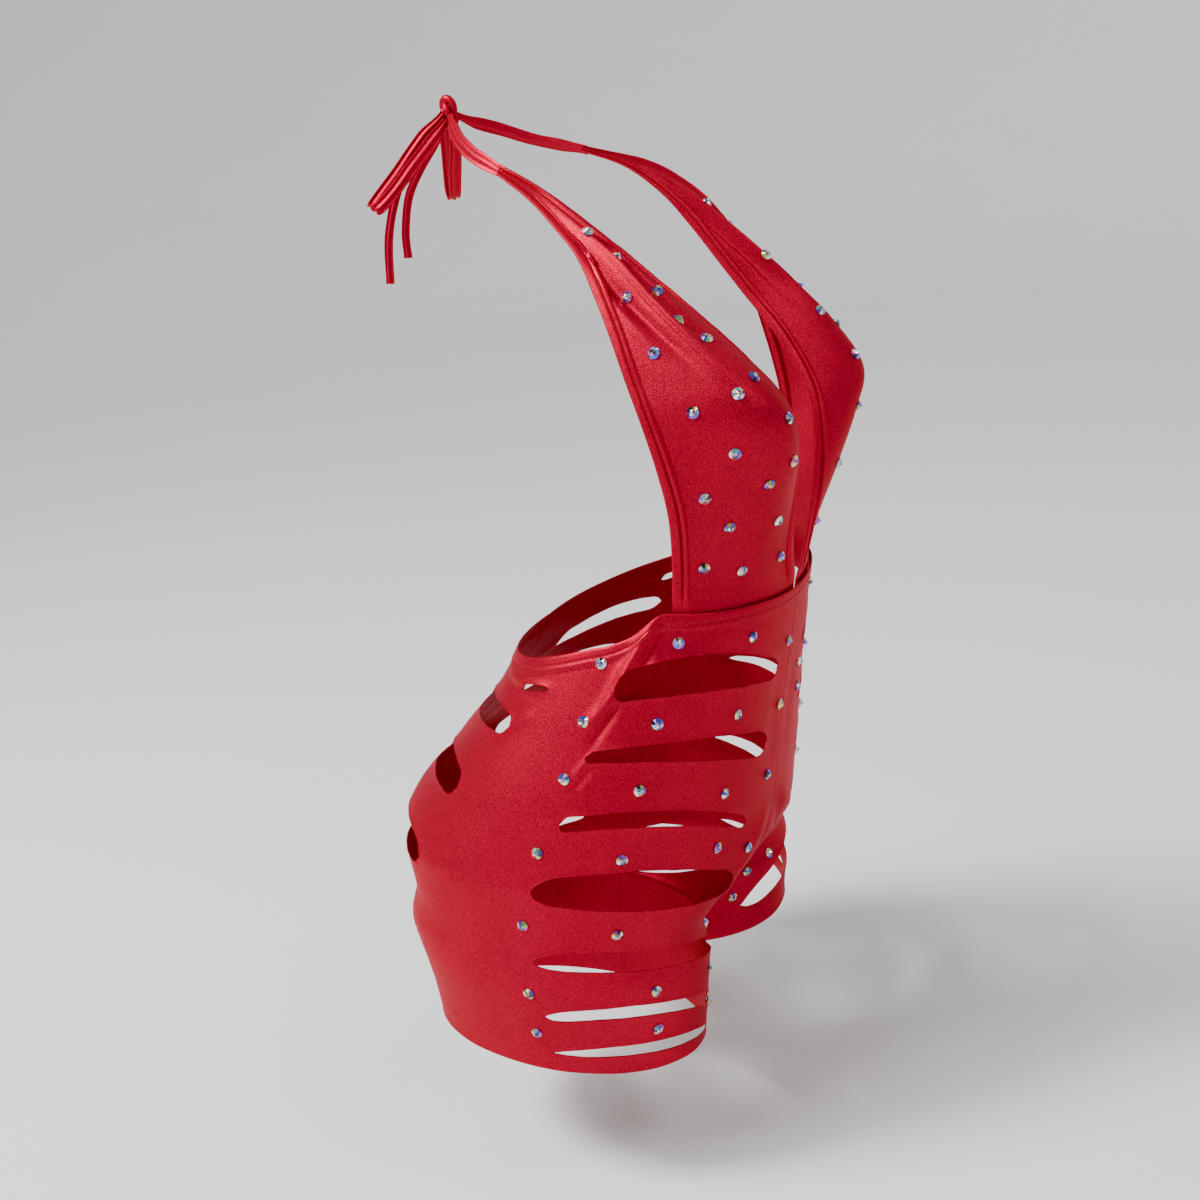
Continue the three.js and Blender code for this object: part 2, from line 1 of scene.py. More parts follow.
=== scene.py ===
# %% [markdown]
# # A rhinestone romper in red stretch satin
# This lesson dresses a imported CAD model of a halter-neck stage romper. The CAD part fixes its size
# and its place. Here each plain wall is replaced by thin cloth with creases, cut edges, stitches and
# cut-glass stones. The front faces -Y, the wearer's left is +X, and the origin is at the nape.

import bpy
import numpy as np
from mathutils import Matrix, Vector


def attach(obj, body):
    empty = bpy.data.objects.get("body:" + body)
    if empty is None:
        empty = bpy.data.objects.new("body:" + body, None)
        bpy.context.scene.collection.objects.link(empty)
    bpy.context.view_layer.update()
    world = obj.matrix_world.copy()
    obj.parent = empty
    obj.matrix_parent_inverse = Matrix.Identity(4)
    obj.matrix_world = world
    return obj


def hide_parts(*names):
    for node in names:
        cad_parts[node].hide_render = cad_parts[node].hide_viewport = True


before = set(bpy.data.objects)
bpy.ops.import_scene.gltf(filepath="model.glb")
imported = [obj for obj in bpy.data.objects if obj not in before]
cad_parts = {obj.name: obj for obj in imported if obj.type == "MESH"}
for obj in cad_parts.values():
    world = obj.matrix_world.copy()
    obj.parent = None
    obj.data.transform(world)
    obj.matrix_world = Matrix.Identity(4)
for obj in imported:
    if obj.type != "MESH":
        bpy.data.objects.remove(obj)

MM = 0.001
NAPE = np.array([0.0, 78.0, 580.0])  # the origin, in the tables' heights above the crotch
RIGHT, LEFT = -1, 1
HANDS = {RIGHT: "right", LEFT: "left"}
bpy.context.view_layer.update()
bpy.ops.object.select_all(action="DESELECT")

# %% [markdown]
# ## The camera
# A camera is placed first, because every later choice is judged through it. The photograph was taken
# from the wearer's front right, a little above the hips, with a lens of about 48 mm on a 36 mm sensor.

# %% Place the camera
IMAGE_WIDTH = 1200
FOCAL_PIXELS = 1612
OFF_CENTRE = (4, -45)  # how far the lens axis lies from the middle of the image, in pixels
camera_data = bpy.data.cameras.new("camera")
camera_data.sensor_width = 36
camera_data.lens = camera_data.sensor_width * FOCAL_PIXELS / IMAGE_WIDTH
camera_data.shift_x = -OFF_CENTRE[0] / IMAGE_WIDTH
camera_data.shift_y = OFF_CENTRE[1] / IMAGE_WIDTH
camera_data.clip_end = 50
camera = bpy.data.objects.new("camera", camera_data)
bpy.context.scene.collection.objects.link(camera)
look_right = Vector((0.41210, -0.90630, -0.09380))
look_up = Vector((0.28934, 0.03255, 0.95667))
look_back = look_right.cross(look_up)
camera.matrix_world = Matrix((look_right, look_up, look_back)).transposed().to_4x4()
camera.location = (-1.0368, -0.5837, 0.0108)
bpy.context.scene.camera = camera
print("lens in mm:", round(camera_data.lens, 1))

# %% [markdown]
# ## The form of the cloth
# A stretch garment takes its form from a body, so the sheets are not drawn point by point. A few
# sections of a general figure, square to the body, are joined by smooth curves. The tables count
# millimetres from the crotch, and hold the same sections as the CAD part does.


# %% Tables and smooth curves
def table(names, values):
    """A table as one array for each named column."""
    return dict(zip(names.split(), np.array(values, float).T))


def named(names, rows):
    """The rows of a table, each with its values under their names."""
    return [dict(zip(names.split(), row)) for row in rows]


def along(curve, by, key, x):
    """A smooth curve through one column of a table that never overshoots its rows."""
    xs, ys = curve[by], curve[key]
    x = np.clip(x, xs[0], xs[-1])
    gaps = np.diff(xs)
    slopes = np.diff(ys) / gaps
    product = slopes[:-1] * slopes[1:]
    total = np.where(product > 0, slopes[:-1] + slopes[1:], 1)
    inner = np.where(product > 0, 2 * product / total, 0)
    tangents = np.concatenate([slopes[:1], inner, slopes[-1:]])
    k = np.clip(np.searchsorted(xs, x, side="right") - 1, 0, len(gaps) - 1)
    f = (x - xs[k]) / gaps[k]
    start, end = tangents[k] * gaps[k], tangents[k + 1] * gaps[k]
    rise = ys[k + 1] - ys[k]
    return ys[k] + f * (start + f * (3 * rise - 2 * start - end + f * (start + end - 2 * rise)))


def catmull_rom(p0, p1, p2, p3, f):
    """Where a smooth curve through four values lies, a share f of the way from the second to the third."""
    bend = 2 * p0 - 5 * p1 + 4 * p2 - p3
    return 0.5 * (2 * p1 + f * (p2 - p0 + f * (bend + f * (3 * p1 - p0 - 3 * p2 + p3))))


def lerp(a, b, share):
    return a + (b - a) * share


def smoothstep(x, low, high):
    share = np.clip((x - low) / (high - low), 0, 1)
    return share * share * (3 - 2 * share)


def wobble(x, seed):
    """Uneven waves between about -1 and 1, the same in each run."""
    return (np.sin(x + seed) + 0.6 * np.sin(2.3 * x + 1.7 * seed) + 0.4 * np.sin(4.1 * x + 2.9 * seed)) / 2


# %% Sections of the hips, waist and thighs
TORSO = table("s y tilt half front back", [
    (-95, 14, 3, 178, 117, 134),
    (0, 13, 7, 178, 117, 136),
    (60, 11, 7, 178, 129, 150),
    (120, -11, 5, 167, 115, 127),
    (180, -33, 5, 147, 103, 98),
    (262, -56, 8, 115, 96, 77),
])
THIGH = table("s half front back", [
    (-95, 77, 95, 107),
    (-45, 83, 101, 114),
    (0, 90, 105, 124),
    (100, 90, 106, 128),
])
WAIST_EDGE = table("t s", [
    (0, 257), (0.2, 261), (0.385, 261), (0.45, 243), (0.52, 232), (0.6, 223), (0.7, 214), (0.85, 206),
    (1, 203),
])
SQUARENESS = 2.3  # of the superellipse that rounds a section
THIGH_MIDDLE = 90
CROTCH_RISE = (78, 110)  # heights at which the thighs have become one torso, in front and behind
SOFT_RISE = 0.35  # share of that rise over which the outer side of a thigh swells into the hip
HEM = {RIGHT: -87, LEFT: -66}  # the left leg is worn higher
HEM_RISE = 18  # over the side of the thigh


def signed_power(value, power):
    return np.sign(value) * np.abs(value) ** power


def shorts_point(s, t, side):
    """Points of the shorts in mm: s is the height along the body, t the way round one side."""
    s, t = np.broadcast_arrays(np.asarray(s, float), np.asarray(t, float))
    up = np.maximum(s, 0)
    power = 2 / SQUARENESS
    facing = -np.cos(np.pi * t)
    depth = np.where(facing < 0, along(TORSO, "s", "front", up), along(TORSO, "s", "back", up))
    torso_x = along(TORSO, "s", "half", up) * signed_power(np.sin(np.pi * t), power)
    torso_y = depth * signed_power(facing, power)
    leg_sine = np.sin(2 * np.pi * t)
    leg_depth = np.where(leg_sine > 0, along(THIGH, "s", "front", s), along(THIGH, "s", "back", s))
    leg_x = THIGH_MIDDLE - along(THIGH, "s", "half", s) * np.cos(2 * np.pi * t)
    leg_y = -leg_depth * leg_sine
    risen = np.clip(s / lerp(*CROTCH_RISE, t), 0, 1)
    rounded = np.sqrt(1 - (1 - risen) ** 2)
    inner = ((1 + np.cos(2 * np.pi * t)) / 2) ** 2
    torso_share = rounded * lerp(smoothstep(risen, 0, SOFT_RISE), 1, inner)
    x = lerp(leg_x, torso_x, torso_share)
    y = lerp(leg_y, torso_y, torso_share)
    tilt = np.radians(along(TORSO, "s", "tilt", s))
    middle = along(TORSO, "s", "y", s)
    return np.stack([side * x, middle + y * np.cos(tilt), s + y * np.sin(tilt)], -1) - NAPE


def unit(vectors):
    return vectors / np.maximum(np.linalg.norm(vectors, axis=-1, keepdims=True), 1e-9)


def normal_of(point, a, b, turn, step_a, step_b):
    """The outward normals of a surface point(a, b), where turn is +1 if a x b faces outwards."""
    along_a = point(a + step_a, b) - point(a - step_a, b)
    along_b = point(a, b + step_b) - point(a, b - step_b)
    return unit(np.cross(unit(along_a), unit(along_b))) * turn


def shorts_normal(s, t, side):
    return normal_of(lambda a, b: shorts_point(b, a, side), t, s, side, 5e-3, 2)


def hem_height(t, side):
    return HEM[side] + HEM_RISE * np.sin(np.pi * t) ** 2


def waist_height(t):
    return along(WAIST_EDGE, "t", "s", t)


# %% [markdown]
# ## From points to a piece of cloth
# A sheet is a grid of points, so its faces are a few lines of arithmetic. Real cloth has two faces and
# an edge between them, which the Solidify modifier gives it, turned inwards from the modelled face.


# %% Make a mesh, edit it and give it a thickness
WELD = 1e-5  # in metres, the gap that closes between two strips of one sheet


def activate(piece):
    bpy.ops.object.select_all(action="DESELECT")
    piece.select_set(True)
    bpy.context.view_layer.objects.active = piece


def mesh_piece(name, points, faces, uvs=None):
    """An object in metres from points in mm. uvs holds one pair for each point."""
    mesh = bpy.data.meshes.new(name)
    faces = faces.tolist() if isinstance(faces, np.ndarray) else faces
    mesh.from_pydata((np.asarray(points) * MM).tolist(), [], faces)
    if uvs is not None:
        layer = mesh.uv_layers.new(name="cloth")
        corners = np.zeros(len(mesh.loops), np.int32)
        mesh.loops.foreach_get("vertex_index", corners)
        layer.data.foreach_set("uv", np.asarray(uvs, np.float32)[corners].ravel())
    piece = bpy.data.objects.new(name, mesh)
    bpy.context.scene.collection.objects.link(piece)
    return piece


def grid_faces(rows, columns, start=0, flip=False):
    """Four-cornered faces of a grid of points that are stored row by row."""
    first = start + np.arange(rows - 1)[:, None] * columns + np.arange(columns - 1)[None, :]
    faces = np.stack([first, first + 1, first + columns + 1, first + columns], -1).reshape(-1, 4)
    return faces[:, ::-1] if flip else faces


def edit_all(piece, operator, **settings):
    """One operator on the whole mesh, in Edit Mode."""
    activate(piece)
    bpy.ops.object.mode_set(mode="EDIT")
    bpy.ops.mesh.select_all(action="SELECT")
    operator(**settings)
    bpy.ops.object.mode_set(mode="OBJECT")


def thicken(piece, thickness):
    """Two faces and an edge, with the second face on the inner side."""
    activate(piece)
    modifier = piece.modifiers.new("thickness", "SOLIDIFY")
    modifier.thickness = thickness * MM
    modifier.offset = -1
    bpy.ops.object.modifier_apply(modifier=modifier.name)


def take_apart(pattern):
    """The points in metres and the faces of an object that only serves as a pattern for copies."""
    points = np.array([vertex.co for vertex in pattern.data.vertices])
    faces = [list(face.vertices) for face in pattern.data.polygons]
    bpy.data.objects.remove(pattern)
    return points, faces


def finish_piece(piece, finish, replaced):
    """Smooth shading, the material, a place under the body's root, and the hidden CAD parts that the piece
    replaces.
    """
    activate(piece)
    bpy.ops.object.shade_smooth_by_angle(angle=np.radians(50))
    piece.data.materials.clear()
    piece.data.materials.append(finish)
    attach(piece, "root")
    if replaced:
        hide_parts(*replaced)
    print(piece.name, "has", len(piece.data.polygons), "faces")


# %% [markdown]
# ## Finishes
# The shader of each finish is built from nodes. Sums on what changes over the surface are written as
# plain expressions: the class below turns each sum into Math nodes. Satin throws light back in its
# own colour, so more than half of its gloss is metallic, and only a little of it is white.


# %% A small language for materials
class Share:
    """A number that changes over a surface, held in a socket of a material."""

    def __init__(self, finish, socket):
        self.finish = finish
        self.socket = socket

    def sum(self, operation, *others):
        values = dict(enumerate((self, *others)))
        return self.finish.node("ShaderNodeMath", {"operation": operation}, values)

    def __add__(self, other):
        return self.sum("ADD", other)

    def __mul__(self, other):
        return self.sum("MULTIPLY", other)

    def __sub__(self, other):
        return self.sum("SUBTRACT", other)

    def __rsub__(self, other):
        return self.finish.node("ShaderNodeMath", {"operation": "SUBTRACT"}, {0: other, 1: self})

    __radd__ = __add__
    __rmul__ = __mul__


class Finish:
    """One material: its nodes are added by node(), and shine() sets the shader's own sockets."""

    def __init__(self, name):
        self.material = bpy.data.materials.new(name)
        self.material.use_nodes = True
        self.nodes = self.material.node_tree.nodes
        self.links = self.material.node_tree.links
        self.shader = self.nodes["Principled BSDF"]

    def join(self, value, socket):
        if isinstance(value, Share):
            self.links.new(value.socket, socket)
        else:
            socket.default_value = value

    def node(self, kind, settings=None, sockets=None, out=0):
        made = self.nodes.new(kind)
        for key, value in (settings or {}).items():
            setattr(made, key, value)
        for key, value in (sockets or {}).items():
            self.join(value, made.inputs[key])
        return Share(self, made.outputs[out])

    def mix(self, share, low, high):
        """A colour between two colours."""
        made = self.nodes.new("ShaderNodeMix")
        made.data_type = "RGBA"
        self.join(share, made.inputs[0])
        self.join(low, made.inputs[6])
        self.join(high, made.inputs[7])
        return Share(self, made.outputs[2])

    def shine(self, **sockets):
        for key, value in sockets.items():
            self.join(value, self.shader.inputs[key.replace("_", " ")])


# %% Stretch satin, and the same satin folded as trim, painted a little lighter
def satin(name, shade, light, grain_strength):
    """Knitted satin: a soft wide gleam over a fine, slightly fuzzy grain."""
    finish = Finish(name)
    where = finish.node("ShaderNodeTexCoord", out=3)
    shared = {"Vector": where, "Detail": 2}
    grain, fuzz, cloud = (
        finish.node("ShaderNodeTexNoise", {}, {**shared, "Scale": scale, "Roughness": rough})
        for scale, rough in ((1500, 0.6), (750, 0.5), (22, 0.5)))
    speckle = 2.4 * grain + 0.7 * fuzz + 0.3 * cloud - 1.2
    colour = finish.mix(speckle, shade, light)
    rough = 0.36 + 0.14 * grain
    height = grain + 0.6 * fuzz
    bump = finish.node(
        "ShaderNodeBump", {}, {"Strength": grain_strength, "Distance": 0.00025, "Height": height})
    finish.shine(Base_Color=colour, Roughness=rough, Normal=bump)
    finish.shine(Sheen_Weight=0.05, Sheen_Roughness=0.3, Sheen_Tint=(1.0, 0.1, 0.2, 1))
    finish.shine(Metallic=0.62, Specular_IOR_Level=0.1, Specular_Tint=(1.0, 0.2, 0.32, 1))
    return finish.material


SATIN = satin("stretch satin", (0.22, 0.001, 0.012, 1), (0.52, 0.003, 0.033, 1), 0.7)
# The trim is the same satin. Its slightly lighter colours are painted light, for the ties and bindings catch
# more light; its weaker bump is the folded cloth.
TRIM_PAINTED_LIGHTER = satin("folded satin painted lighter", (0.26, 0.001, 0.014, 1), (0.55, 0.003, 0.035, 1), 0.35)


# %% Sewing thread, painted darker as shade, and cut glass
# The thread is the same red as the cloth. Its darker colours are painted shade, where the stitches sink into
# the cloth.
def thread_painted_darker():
    finish = Finish("thread_painted_darker")
    where = finish.node("ShaderNodeTexCoord", out=3)
    strands = finish.node("ShaderNodeTexNoise", {}, {"Vector": where, "Scale": 2500, "Detail": 1})
    colour = finish.mix(strands, (0.16, 0.002, 0.008, 1), (0.34, 0.006, 0.02, 1))
    finish.shine(Base_Color=colour, Roughness=0.6 + 0.2 * strands)
    return finish.material


def glass():
    """Foiled glass with a rainbow coat: each facet mirrors the room in a colour of the coat. Near-black
    facets are painted dark reflection.
    """
    finish = Finish("cut glass")
    facet = finish.node("ShaderNodeAttribute", {"attribute_name": "facet"})
    flaw = finish.node("ShaderNodeTexNoise", {}, {
        "Vector": finish.node("ShaderNodeTexCoord", out=3), "Scale": 700, "Detail": 1})
    finish.shine(Base_Color=facet, Roughness=0.04 + 0.08 * flaw)
    finish.shine(Metallic=0.8, Coat_Weight=1.0, Coat_Roughness=0.03)
    return finish.material


THREAD_PAINTED_DARKER = thread_painted_darker()
GLASS = glass()

# %% [markdown]
# ## The legs
# Each leg is one piece of cloth from the front seam round to the back seam. It is slit crosswise, and
# stretching pulls the slits open. A grid keeps that clean: the middle line of each slash is a line of
# the grid, and the cloth above and below it is parted by half the slash's width.

# %% Slashes, from the lowest up
# Each row: where it starts and ends round the leg, then its lower and its upper edge at a tenth,
# the middle and nine tenths of its length, and how long its two rounded ends are.
SLASH_NAMES = "start end low1 low2 low3 top1 top2 top3 round1 round2"
FRONT_SLASHES = {
    RIGHT: named(SLASH_NAMES, [
        (0.20, 0.470, -73.0, -58.5, -55.0, -66.5, -48.0, -49.0, 0.12, 0.16),
        (0.18, 0.470, -56.0, -25.0, -22.5, -43.0, -14.5, -12.5, 0.12, 0.12),
        (0.15, 0.475, -13.0, 11.5, 18.5, 1.0, 29.5, 30.5, 0.08, 0.10),
        (0.10, 0.475, 45.5, 61.5, 67.5, 70.5, 90.0, 88.5, 0.08, 0.10),
        (0.085, 0.465, 97.0, 118.0, 120.0, 106.5, 129.0, 130.5, 0.03, 0.02),
        (0.04, 0.460, 138.5, 159.5, 164.5, 158.0, 174.0, 173.5, 0.09, 0.03),
        (0.035, 0.445, 193.0, 205.0, 204.5, 212.0, 231.5, 227.0, 0.08, 0.05),
    ]),
    LEFT: named(SLASH_NAMES, [
        (0.32, 0.470, -41.0, -39.4, -37.0, -36.0, -32.6, -33.0, 0.12, 0.12),
        (0.156, 0.470, -36.5, -22.5, -16.0, -16.0, 6.5, -4.5, 0.10, 0.12),
        (0.22, 0.475, 27.0, 36.0, 40.0, 34.0, 48.0, 46.5, 0.10, 0.12),
        (0.12, 0.475, 53.5, 63.0, 71.0, 70.0, 89.0, 84.0, 0.08, 0.14),
        (0.10, 0.465, 102.0, 118.0, 120.5, 111.0, 129.0, 126.5, 0.05, 0.05),
        (0.09, 0.460, 148.0, 161.5, 165.5, 157.0, 174.5, 171.0, 0.06, 0.06),
        (0.07, 0.445, 197.5, 206.0, 206.5, 212.0, 232.0, 220.5, 0.06, 0.10),
    ]),
}
# The back of both legs has the same ladder. Its first row only guides the grid down to the hem.
BACK_SLASHES = named(SLASH_NAMES, [
    (0.60, 0.61, -54.0, -54.0, -54.0, -54.0, -54.0, -54.0, 0.5, 0.5),
    (0.66, 0.860, -41.0, -39.0, -39.0, -33.0, -30.0, -31.0, 0.12, 0.12),
    (0.66, 0.880, -10.0, -5.5, -6.0, 2.0, 8.5, 7.0, 0.12, 0.10),
    (0.675, 0.91, 57.0, 54.5, 51.0, 77.0, 77.5, 70.0, 0.10, 0.10),
    (0.69, 0.910, 113.5, 109.5, 103.0, 132.0, 131.0, 122.0, 0.10, 0.10),
    (0.645, 0.90, 165.0, 159.5, 152.0, 179.5, 176.5, 168.0, 0.10, 0.10),
    (0.575, 0.66, 201.5, 199.0, 196.0, 205.0, 203.5, 200.0, 0.20, 0.20),
])
FADE = 0.03  # how far a slash's slope carries on past its end


def through(first, middle, last, q):
    """A curve through values at a tenth, a half and nine tenths."""
    u = (q - 0.5) / 0.4
    return middle + u * (last - first) / 2 + u * u * (first + last - 2 * middle) / 2


def slash_middle(slash, t):
    """The middle line of a slash, levelling out past its ends."""
    length = slash["end"] - slash["start"]
    ends = [(slash[f"low{k}"] + slash[f"top{k}"]) / 2 for k in (1, 2, 3)]
    q = np.clip((t - slash["start"]) / length, 0, 1)
    past = t - slash["start"] - q * length
    carried = np.sign(past) * FADE * (1 - np.exp(-np.abs(past) / FADE)) / length
    slope = (through(*ends, q + 1e-3) - through(*ends, q - 1e-3)) / 2e-3
    return through(*ends, q) + slope * carried


def slash_half(slash, t):
    """Half the width of a slash, with rounded ends, and nothing outside it."""
    q = (t - slash["start"]) / (slash["end"] - slash["start"])
    half = through(*[(slash[f"top{k}"] - slash[f"low{k}"]) / 2 for k in (1, 2, 3)], q)
    near = np.clip(1 - q / slash["round1"], 0, 1)
    far = np.clip(1 - (1 - q) / slash["round2"], 0, 1)
    rounded = np.sqrt(np.maximum(1 - near ** 2, 0)) * np.sqrt(np.maximum(1 - far ** 2, 0))
    return np.where((q > 0) & (q < 1), np.maximum(half, 0.4) * rounded, 0)


def line_height(k, t, side):
    front, back = FRONT_SLASHES[side][k], BACK_SLASHES[k]
    share = smoothstep(t, front["end"], back["start"])
    return lerp(slash_middle(front, t), slash_middle(back, t), share)


def line_half(k, t, side):
    return slash_half(FRONT_SLASHES[side][k], t) + slash_half(BACK_SLASHES[k], t)


# %% Creases and the turned waist
# Each crease: the points that it runs between as (t, s), its height outwards, and its width in mm.
CREASES = named("t1 s1 t2 s2 height width", [
    (0.405, 252, 0.446, 208, 5.0, 8),
    (0.392, 246, 0.425, 214, -2.4, 7),
    (0.446, 206, 0.476, 186, 2.6, 6),
    (0.432, 203, 0.455, 178, -2.2, 5),
    (0.455, 166, 0.470, 152, 1.6, 4),
    (0.447, 161, 0.462, 148, -1.2, 4),
    (0.60, 203, 0.76, 197, 1.6, 3.5),
    (0.61, 198, 0.74, 192, -1.4, 4),
    (0.095, 58, 0.02, 84, 2.4, 8),
    (0.105, 44, 0.06, 26, 2.2, 7),
    (0.03, 36, 0.01, 84, -1.4, 6),
    (0.02, 120, 0.03, 190, -0.8, 9),
    (0.47, 121, 0.50, 118, 1.0, 4),
    (0.475, 78, 0.52, 70, 0.9, 6),
    (0.90, 118, 0.97, 88, -1.6, 9),
    (0.905, 64, 0.975, 46, -1.8, 9),
    (0.89, 20, 0.97, 14, 1.6, 8),
    (0.90, 160, 0.97, 148, -1.2, 8),
    (0.655, 168, 0.60, 184, 1.2, 5),
    (0.66, 66, 0.60, 74, 1.0, 6),
    (0.65, 2, 0.59, 12, 0.9, 6),
])
HALF_GIRTH = 520  # of one side of the hips, which turns a share of the way round into mm
TURNED = 11.0  # the depth of the turned waist edge
STITCH_ROWS = (6.5, 10.6)  # below the waist edge
CURL, CURL_DEPTH = 1.1, 2.6  # how far a cut edge rolls outwards, and how deep into the cloth
SEAM_SINK, SEAM_WIDTH = 0.3, 0.9  # the faint groove of the centre seams
CLOTH = 0.9  # thickness of the cloth


def crease_height(t, s):
    """The sum of all creases, each a soft ridge or trough that dies away at both ends."""
    total = np.zeros(np.broadcast(t, s).shape)
    for crease in CREASES:
        ax, ay = crease["t1"] * HALF_GIRTH, crease["s1"]
        dx, dy = crease["t2"] * HALF_GIRTH - ax, crease["s2"] - ay
        length = np.hypot(dx, dy)
        px, py = t * HALF_GIRTH - ax, s - ay
        run = (px * dx + py * dy) / length ** 2
        away = (px * dy - py * dx) / length
        ends = smoothstep(run, -0.35, 0.3) * (1 - smoothstep(run, 0.7, 1.35))
        total = total + crease["height"] * ends * np.exp(-((away / crease["width"]) ** 2))
    return total


def turned_height(below):
    """How far the doubled waist edge stands out, with the cloth drawn in at both rows of stitches."""
    doubled = 0.8 * (1 - smoothstep(below, TURNED - 0.4, TURNED + 1.2))
    rounded = -0.6 * (1 - smoothstep(below, 0, 1.2))
    drawn = sum(-0.55 * np.exp(-(((below - row) / 0.7) ** 2)) for row in STITCH_ROWS)
    return doubled + rounded + drawn


# %% Build the two legs
STRIP_ROWS = [10, 14, 20, 24, 20, 20, 20, 20, 14]  # rows of the grid in each strip, from the hem up
RIPPLE = 0.22  # of the cut edges
FULL_ROLL = 3  # half the width from which a slash's edges ripple and roll in full
HEM_OPEN = 9  # the hem counts as the edge of a slash that is open this far
LINE_GAP = 1.5  # between the turned edge and the strip below it
near_seam = np.array([0, 0.0012, 0.0024, 0.004, 0.006])
LEG_COLUMNS = np.concatenate([near_seam, np.linspace(0.0085, 0.9915, 226), 1 - near_seam[::-1]])


def leg_lines(t, side):
    """Heights of the strips' lower and upper edges, and how far each edge is open."""
    closed = np.zeros_like(t)
    lows, tops, open_low, open_top = [hem_height(t, side)], [], [closed + HEM_OPEN], []
    for k in range(len(BACK_SLASHES)):
        middle, half = line_height(k, t, side), line_half(k, t, side)
        clear = RIPPLE * np.minimum(half / FULL_ROLL, 1)
        tops.append(middle - half + clear * wobble(t * 70, 3.1 * k))
        open_top.append(half)
        lows.append(middle + half + clear * wobble(t * 60, 1.3 + 2.7 * k))
        open_low.append(half)
    tops.append(waist_height(t) - TURNED - LINE_GAP)
    open_top.append(closed)
    lows.append(tops[-1])
    open_low.append(closed)
    tops.append(waist_height(t))
    open_top.append(closed)
    return lows, tops, open_low, open_top


def build_leg(side):
    t = LEG_COLUMNS
    points, faces, uvs, count = [], [], [], 0
    for k, (low, top, open_low, open_top) in enumerate(zip(*leg_lines(t, side))):
        share = np.linspace(0, 1, STRIP_ROWS[k] + 1)[:, None]
        s = lerp(low, top, share)
        ways = np.broadcast_to(t, s.shape)
        rolled = np.exp(-(s - low) / CURL_DEPTH) * np.minimum(open_low / FULL_ROLL, 1)
        rolled = rolled * (0.6 + 0.35 * wobble(t * 26, k + side))
        rolled_top = np.exp(-(top - s) / CURL_DEPTH) * np.minimum(open_top / FULL_ROLL, 1)
        rolled = rolled + rolled_top * (0.5 + 0.35 * wobble(t * 23, 2 * k + side))
        lift = CURL * rolled + crease_height(ways, s) + turned_height(waist_height(t) - s)
        edge = np.minimum(t, 1 - t) * HALF_GIRTH
        lift = lift - SEAM_SINK * np.exp(-((edge / SEAM_WIDTH) ** 2))
        strip = shorts_point(s, ways, side) + shorts_normal(s, ways, side) * lift[..., None]
        points.append(strip.reshape(-1, 3))
        faces.append(grid_faces(*s.shape, start=count, flip=side < 0))
        uvs.append(np.stack([ways * HALF_GIRTH * MM, s * MM], -1).reshape(-1, 2))
        count += s.size
    hand = HANDS[side]
    leg = mesh_piece(f"leg_{hand}", np.concatenate(points), np.concatenate(faces), np.concatenate(uvs))
    edit_all(leg, bpy.ops.mesh.remove_doubles, threshold=WELD)
    thicken(leg, CLOTH)
    finish_piece(leg, SATIN, [f"shorts_front_{hand}", f"shorts_back_{hand}"])
    return leg


legs = {side: build_leg(side) for side in (RIGHT, LEFT)}

# %% [markdown]
# ## The bibs
# Each bib is cut on the bias and gathered into its binding at the neck. Its edges are two curves in
# space. Between them the cloth stands out as a smooth cup, and from the neck a few folds run down
# and die out above the cup.

# %% Sections of the bibs, from the waist to the neck
BIB_NAMES = "ix iy iz ox oy oz cup peak"
BIBS = {
    RIGHT: table(BIB_NAMES, [
        (-3, -149, 238, -104, -96, 246, 17, 0.52),
        (-11, -151, 268, -106, -100, 284, 17, 0.5),
        (-22, -156, 312, -114, -104, 322, 26, 0.42),
        (-32, -160, 350, -120, -101, 356, 40, 0.36),
        (-39, -157, 384, -119, -92, 388, 49, 0.34),
        (-45, -137, 412, -114, -82, 413, 45, 0.34),
        (-50, -111, 440, -107, -71, 440, 33, 0.38),
        (-54, -86, 465, -99, -60, 462, 21, 0.42),
        (-56, -60, 490, -88, -44, 489, 12, 0.45),
        (-56, -34, 512, -77, -24, 508, 6, 0.5),
        (-53, -4, 533, -66, -2, 526, 3, 0.5),
        (-46, 27, 549, -54, 26, 543, 1, 0.5),
    ]),
    LEFT: table(BIB_NAMES, [
        (3, -149, 238, 104, -96, 246, 17, 0.52),
        (12, -152, 268, 106, -101, 284, 17, 0.5),
        (24, -157, 312, 114, -106, 322, 27, 0.42),
        (35, -156, 352, 120, -104, 354, 41, 0.36),
        (43, -147, 381, 120, -99, 384, 54, 0.34),
        (49, -126, 416, 115, -93, 416, 48, 0.33),
        (54, -103, 444, 109, -88, 444, 38, 0.36),
        (57, -84, 468, 104, -84, 466, 29, 0.4),
        (58, -66, 492, 97, -74, 492, 18, 0.45),
        (57, -46, 516, 87, -60, 516, 9, 0.5),
        (54, -20, 537, 74, -34, 537, 4, 0.5),
        (47, 12, 551, 58, 6, 551, 1, 0.5),
    ]),
}
LAST_ROW = 11
PANEL_TOP = 11  # the cloth between the bindings ends here, gathered to nothing
BINDING_WIDTH = table("row width", [(0, 12), (8, 11), (9, 7.6), (10, 5.6), (11, 4.9)])
TUCK_DEPTH, TUCK_FROM, TUCK_TO, TUCK_CLEAR = 8, 0.005, 0.37, 2.3
FIRST_RISE = 30  # in mm from the first row of a bib's table to the second

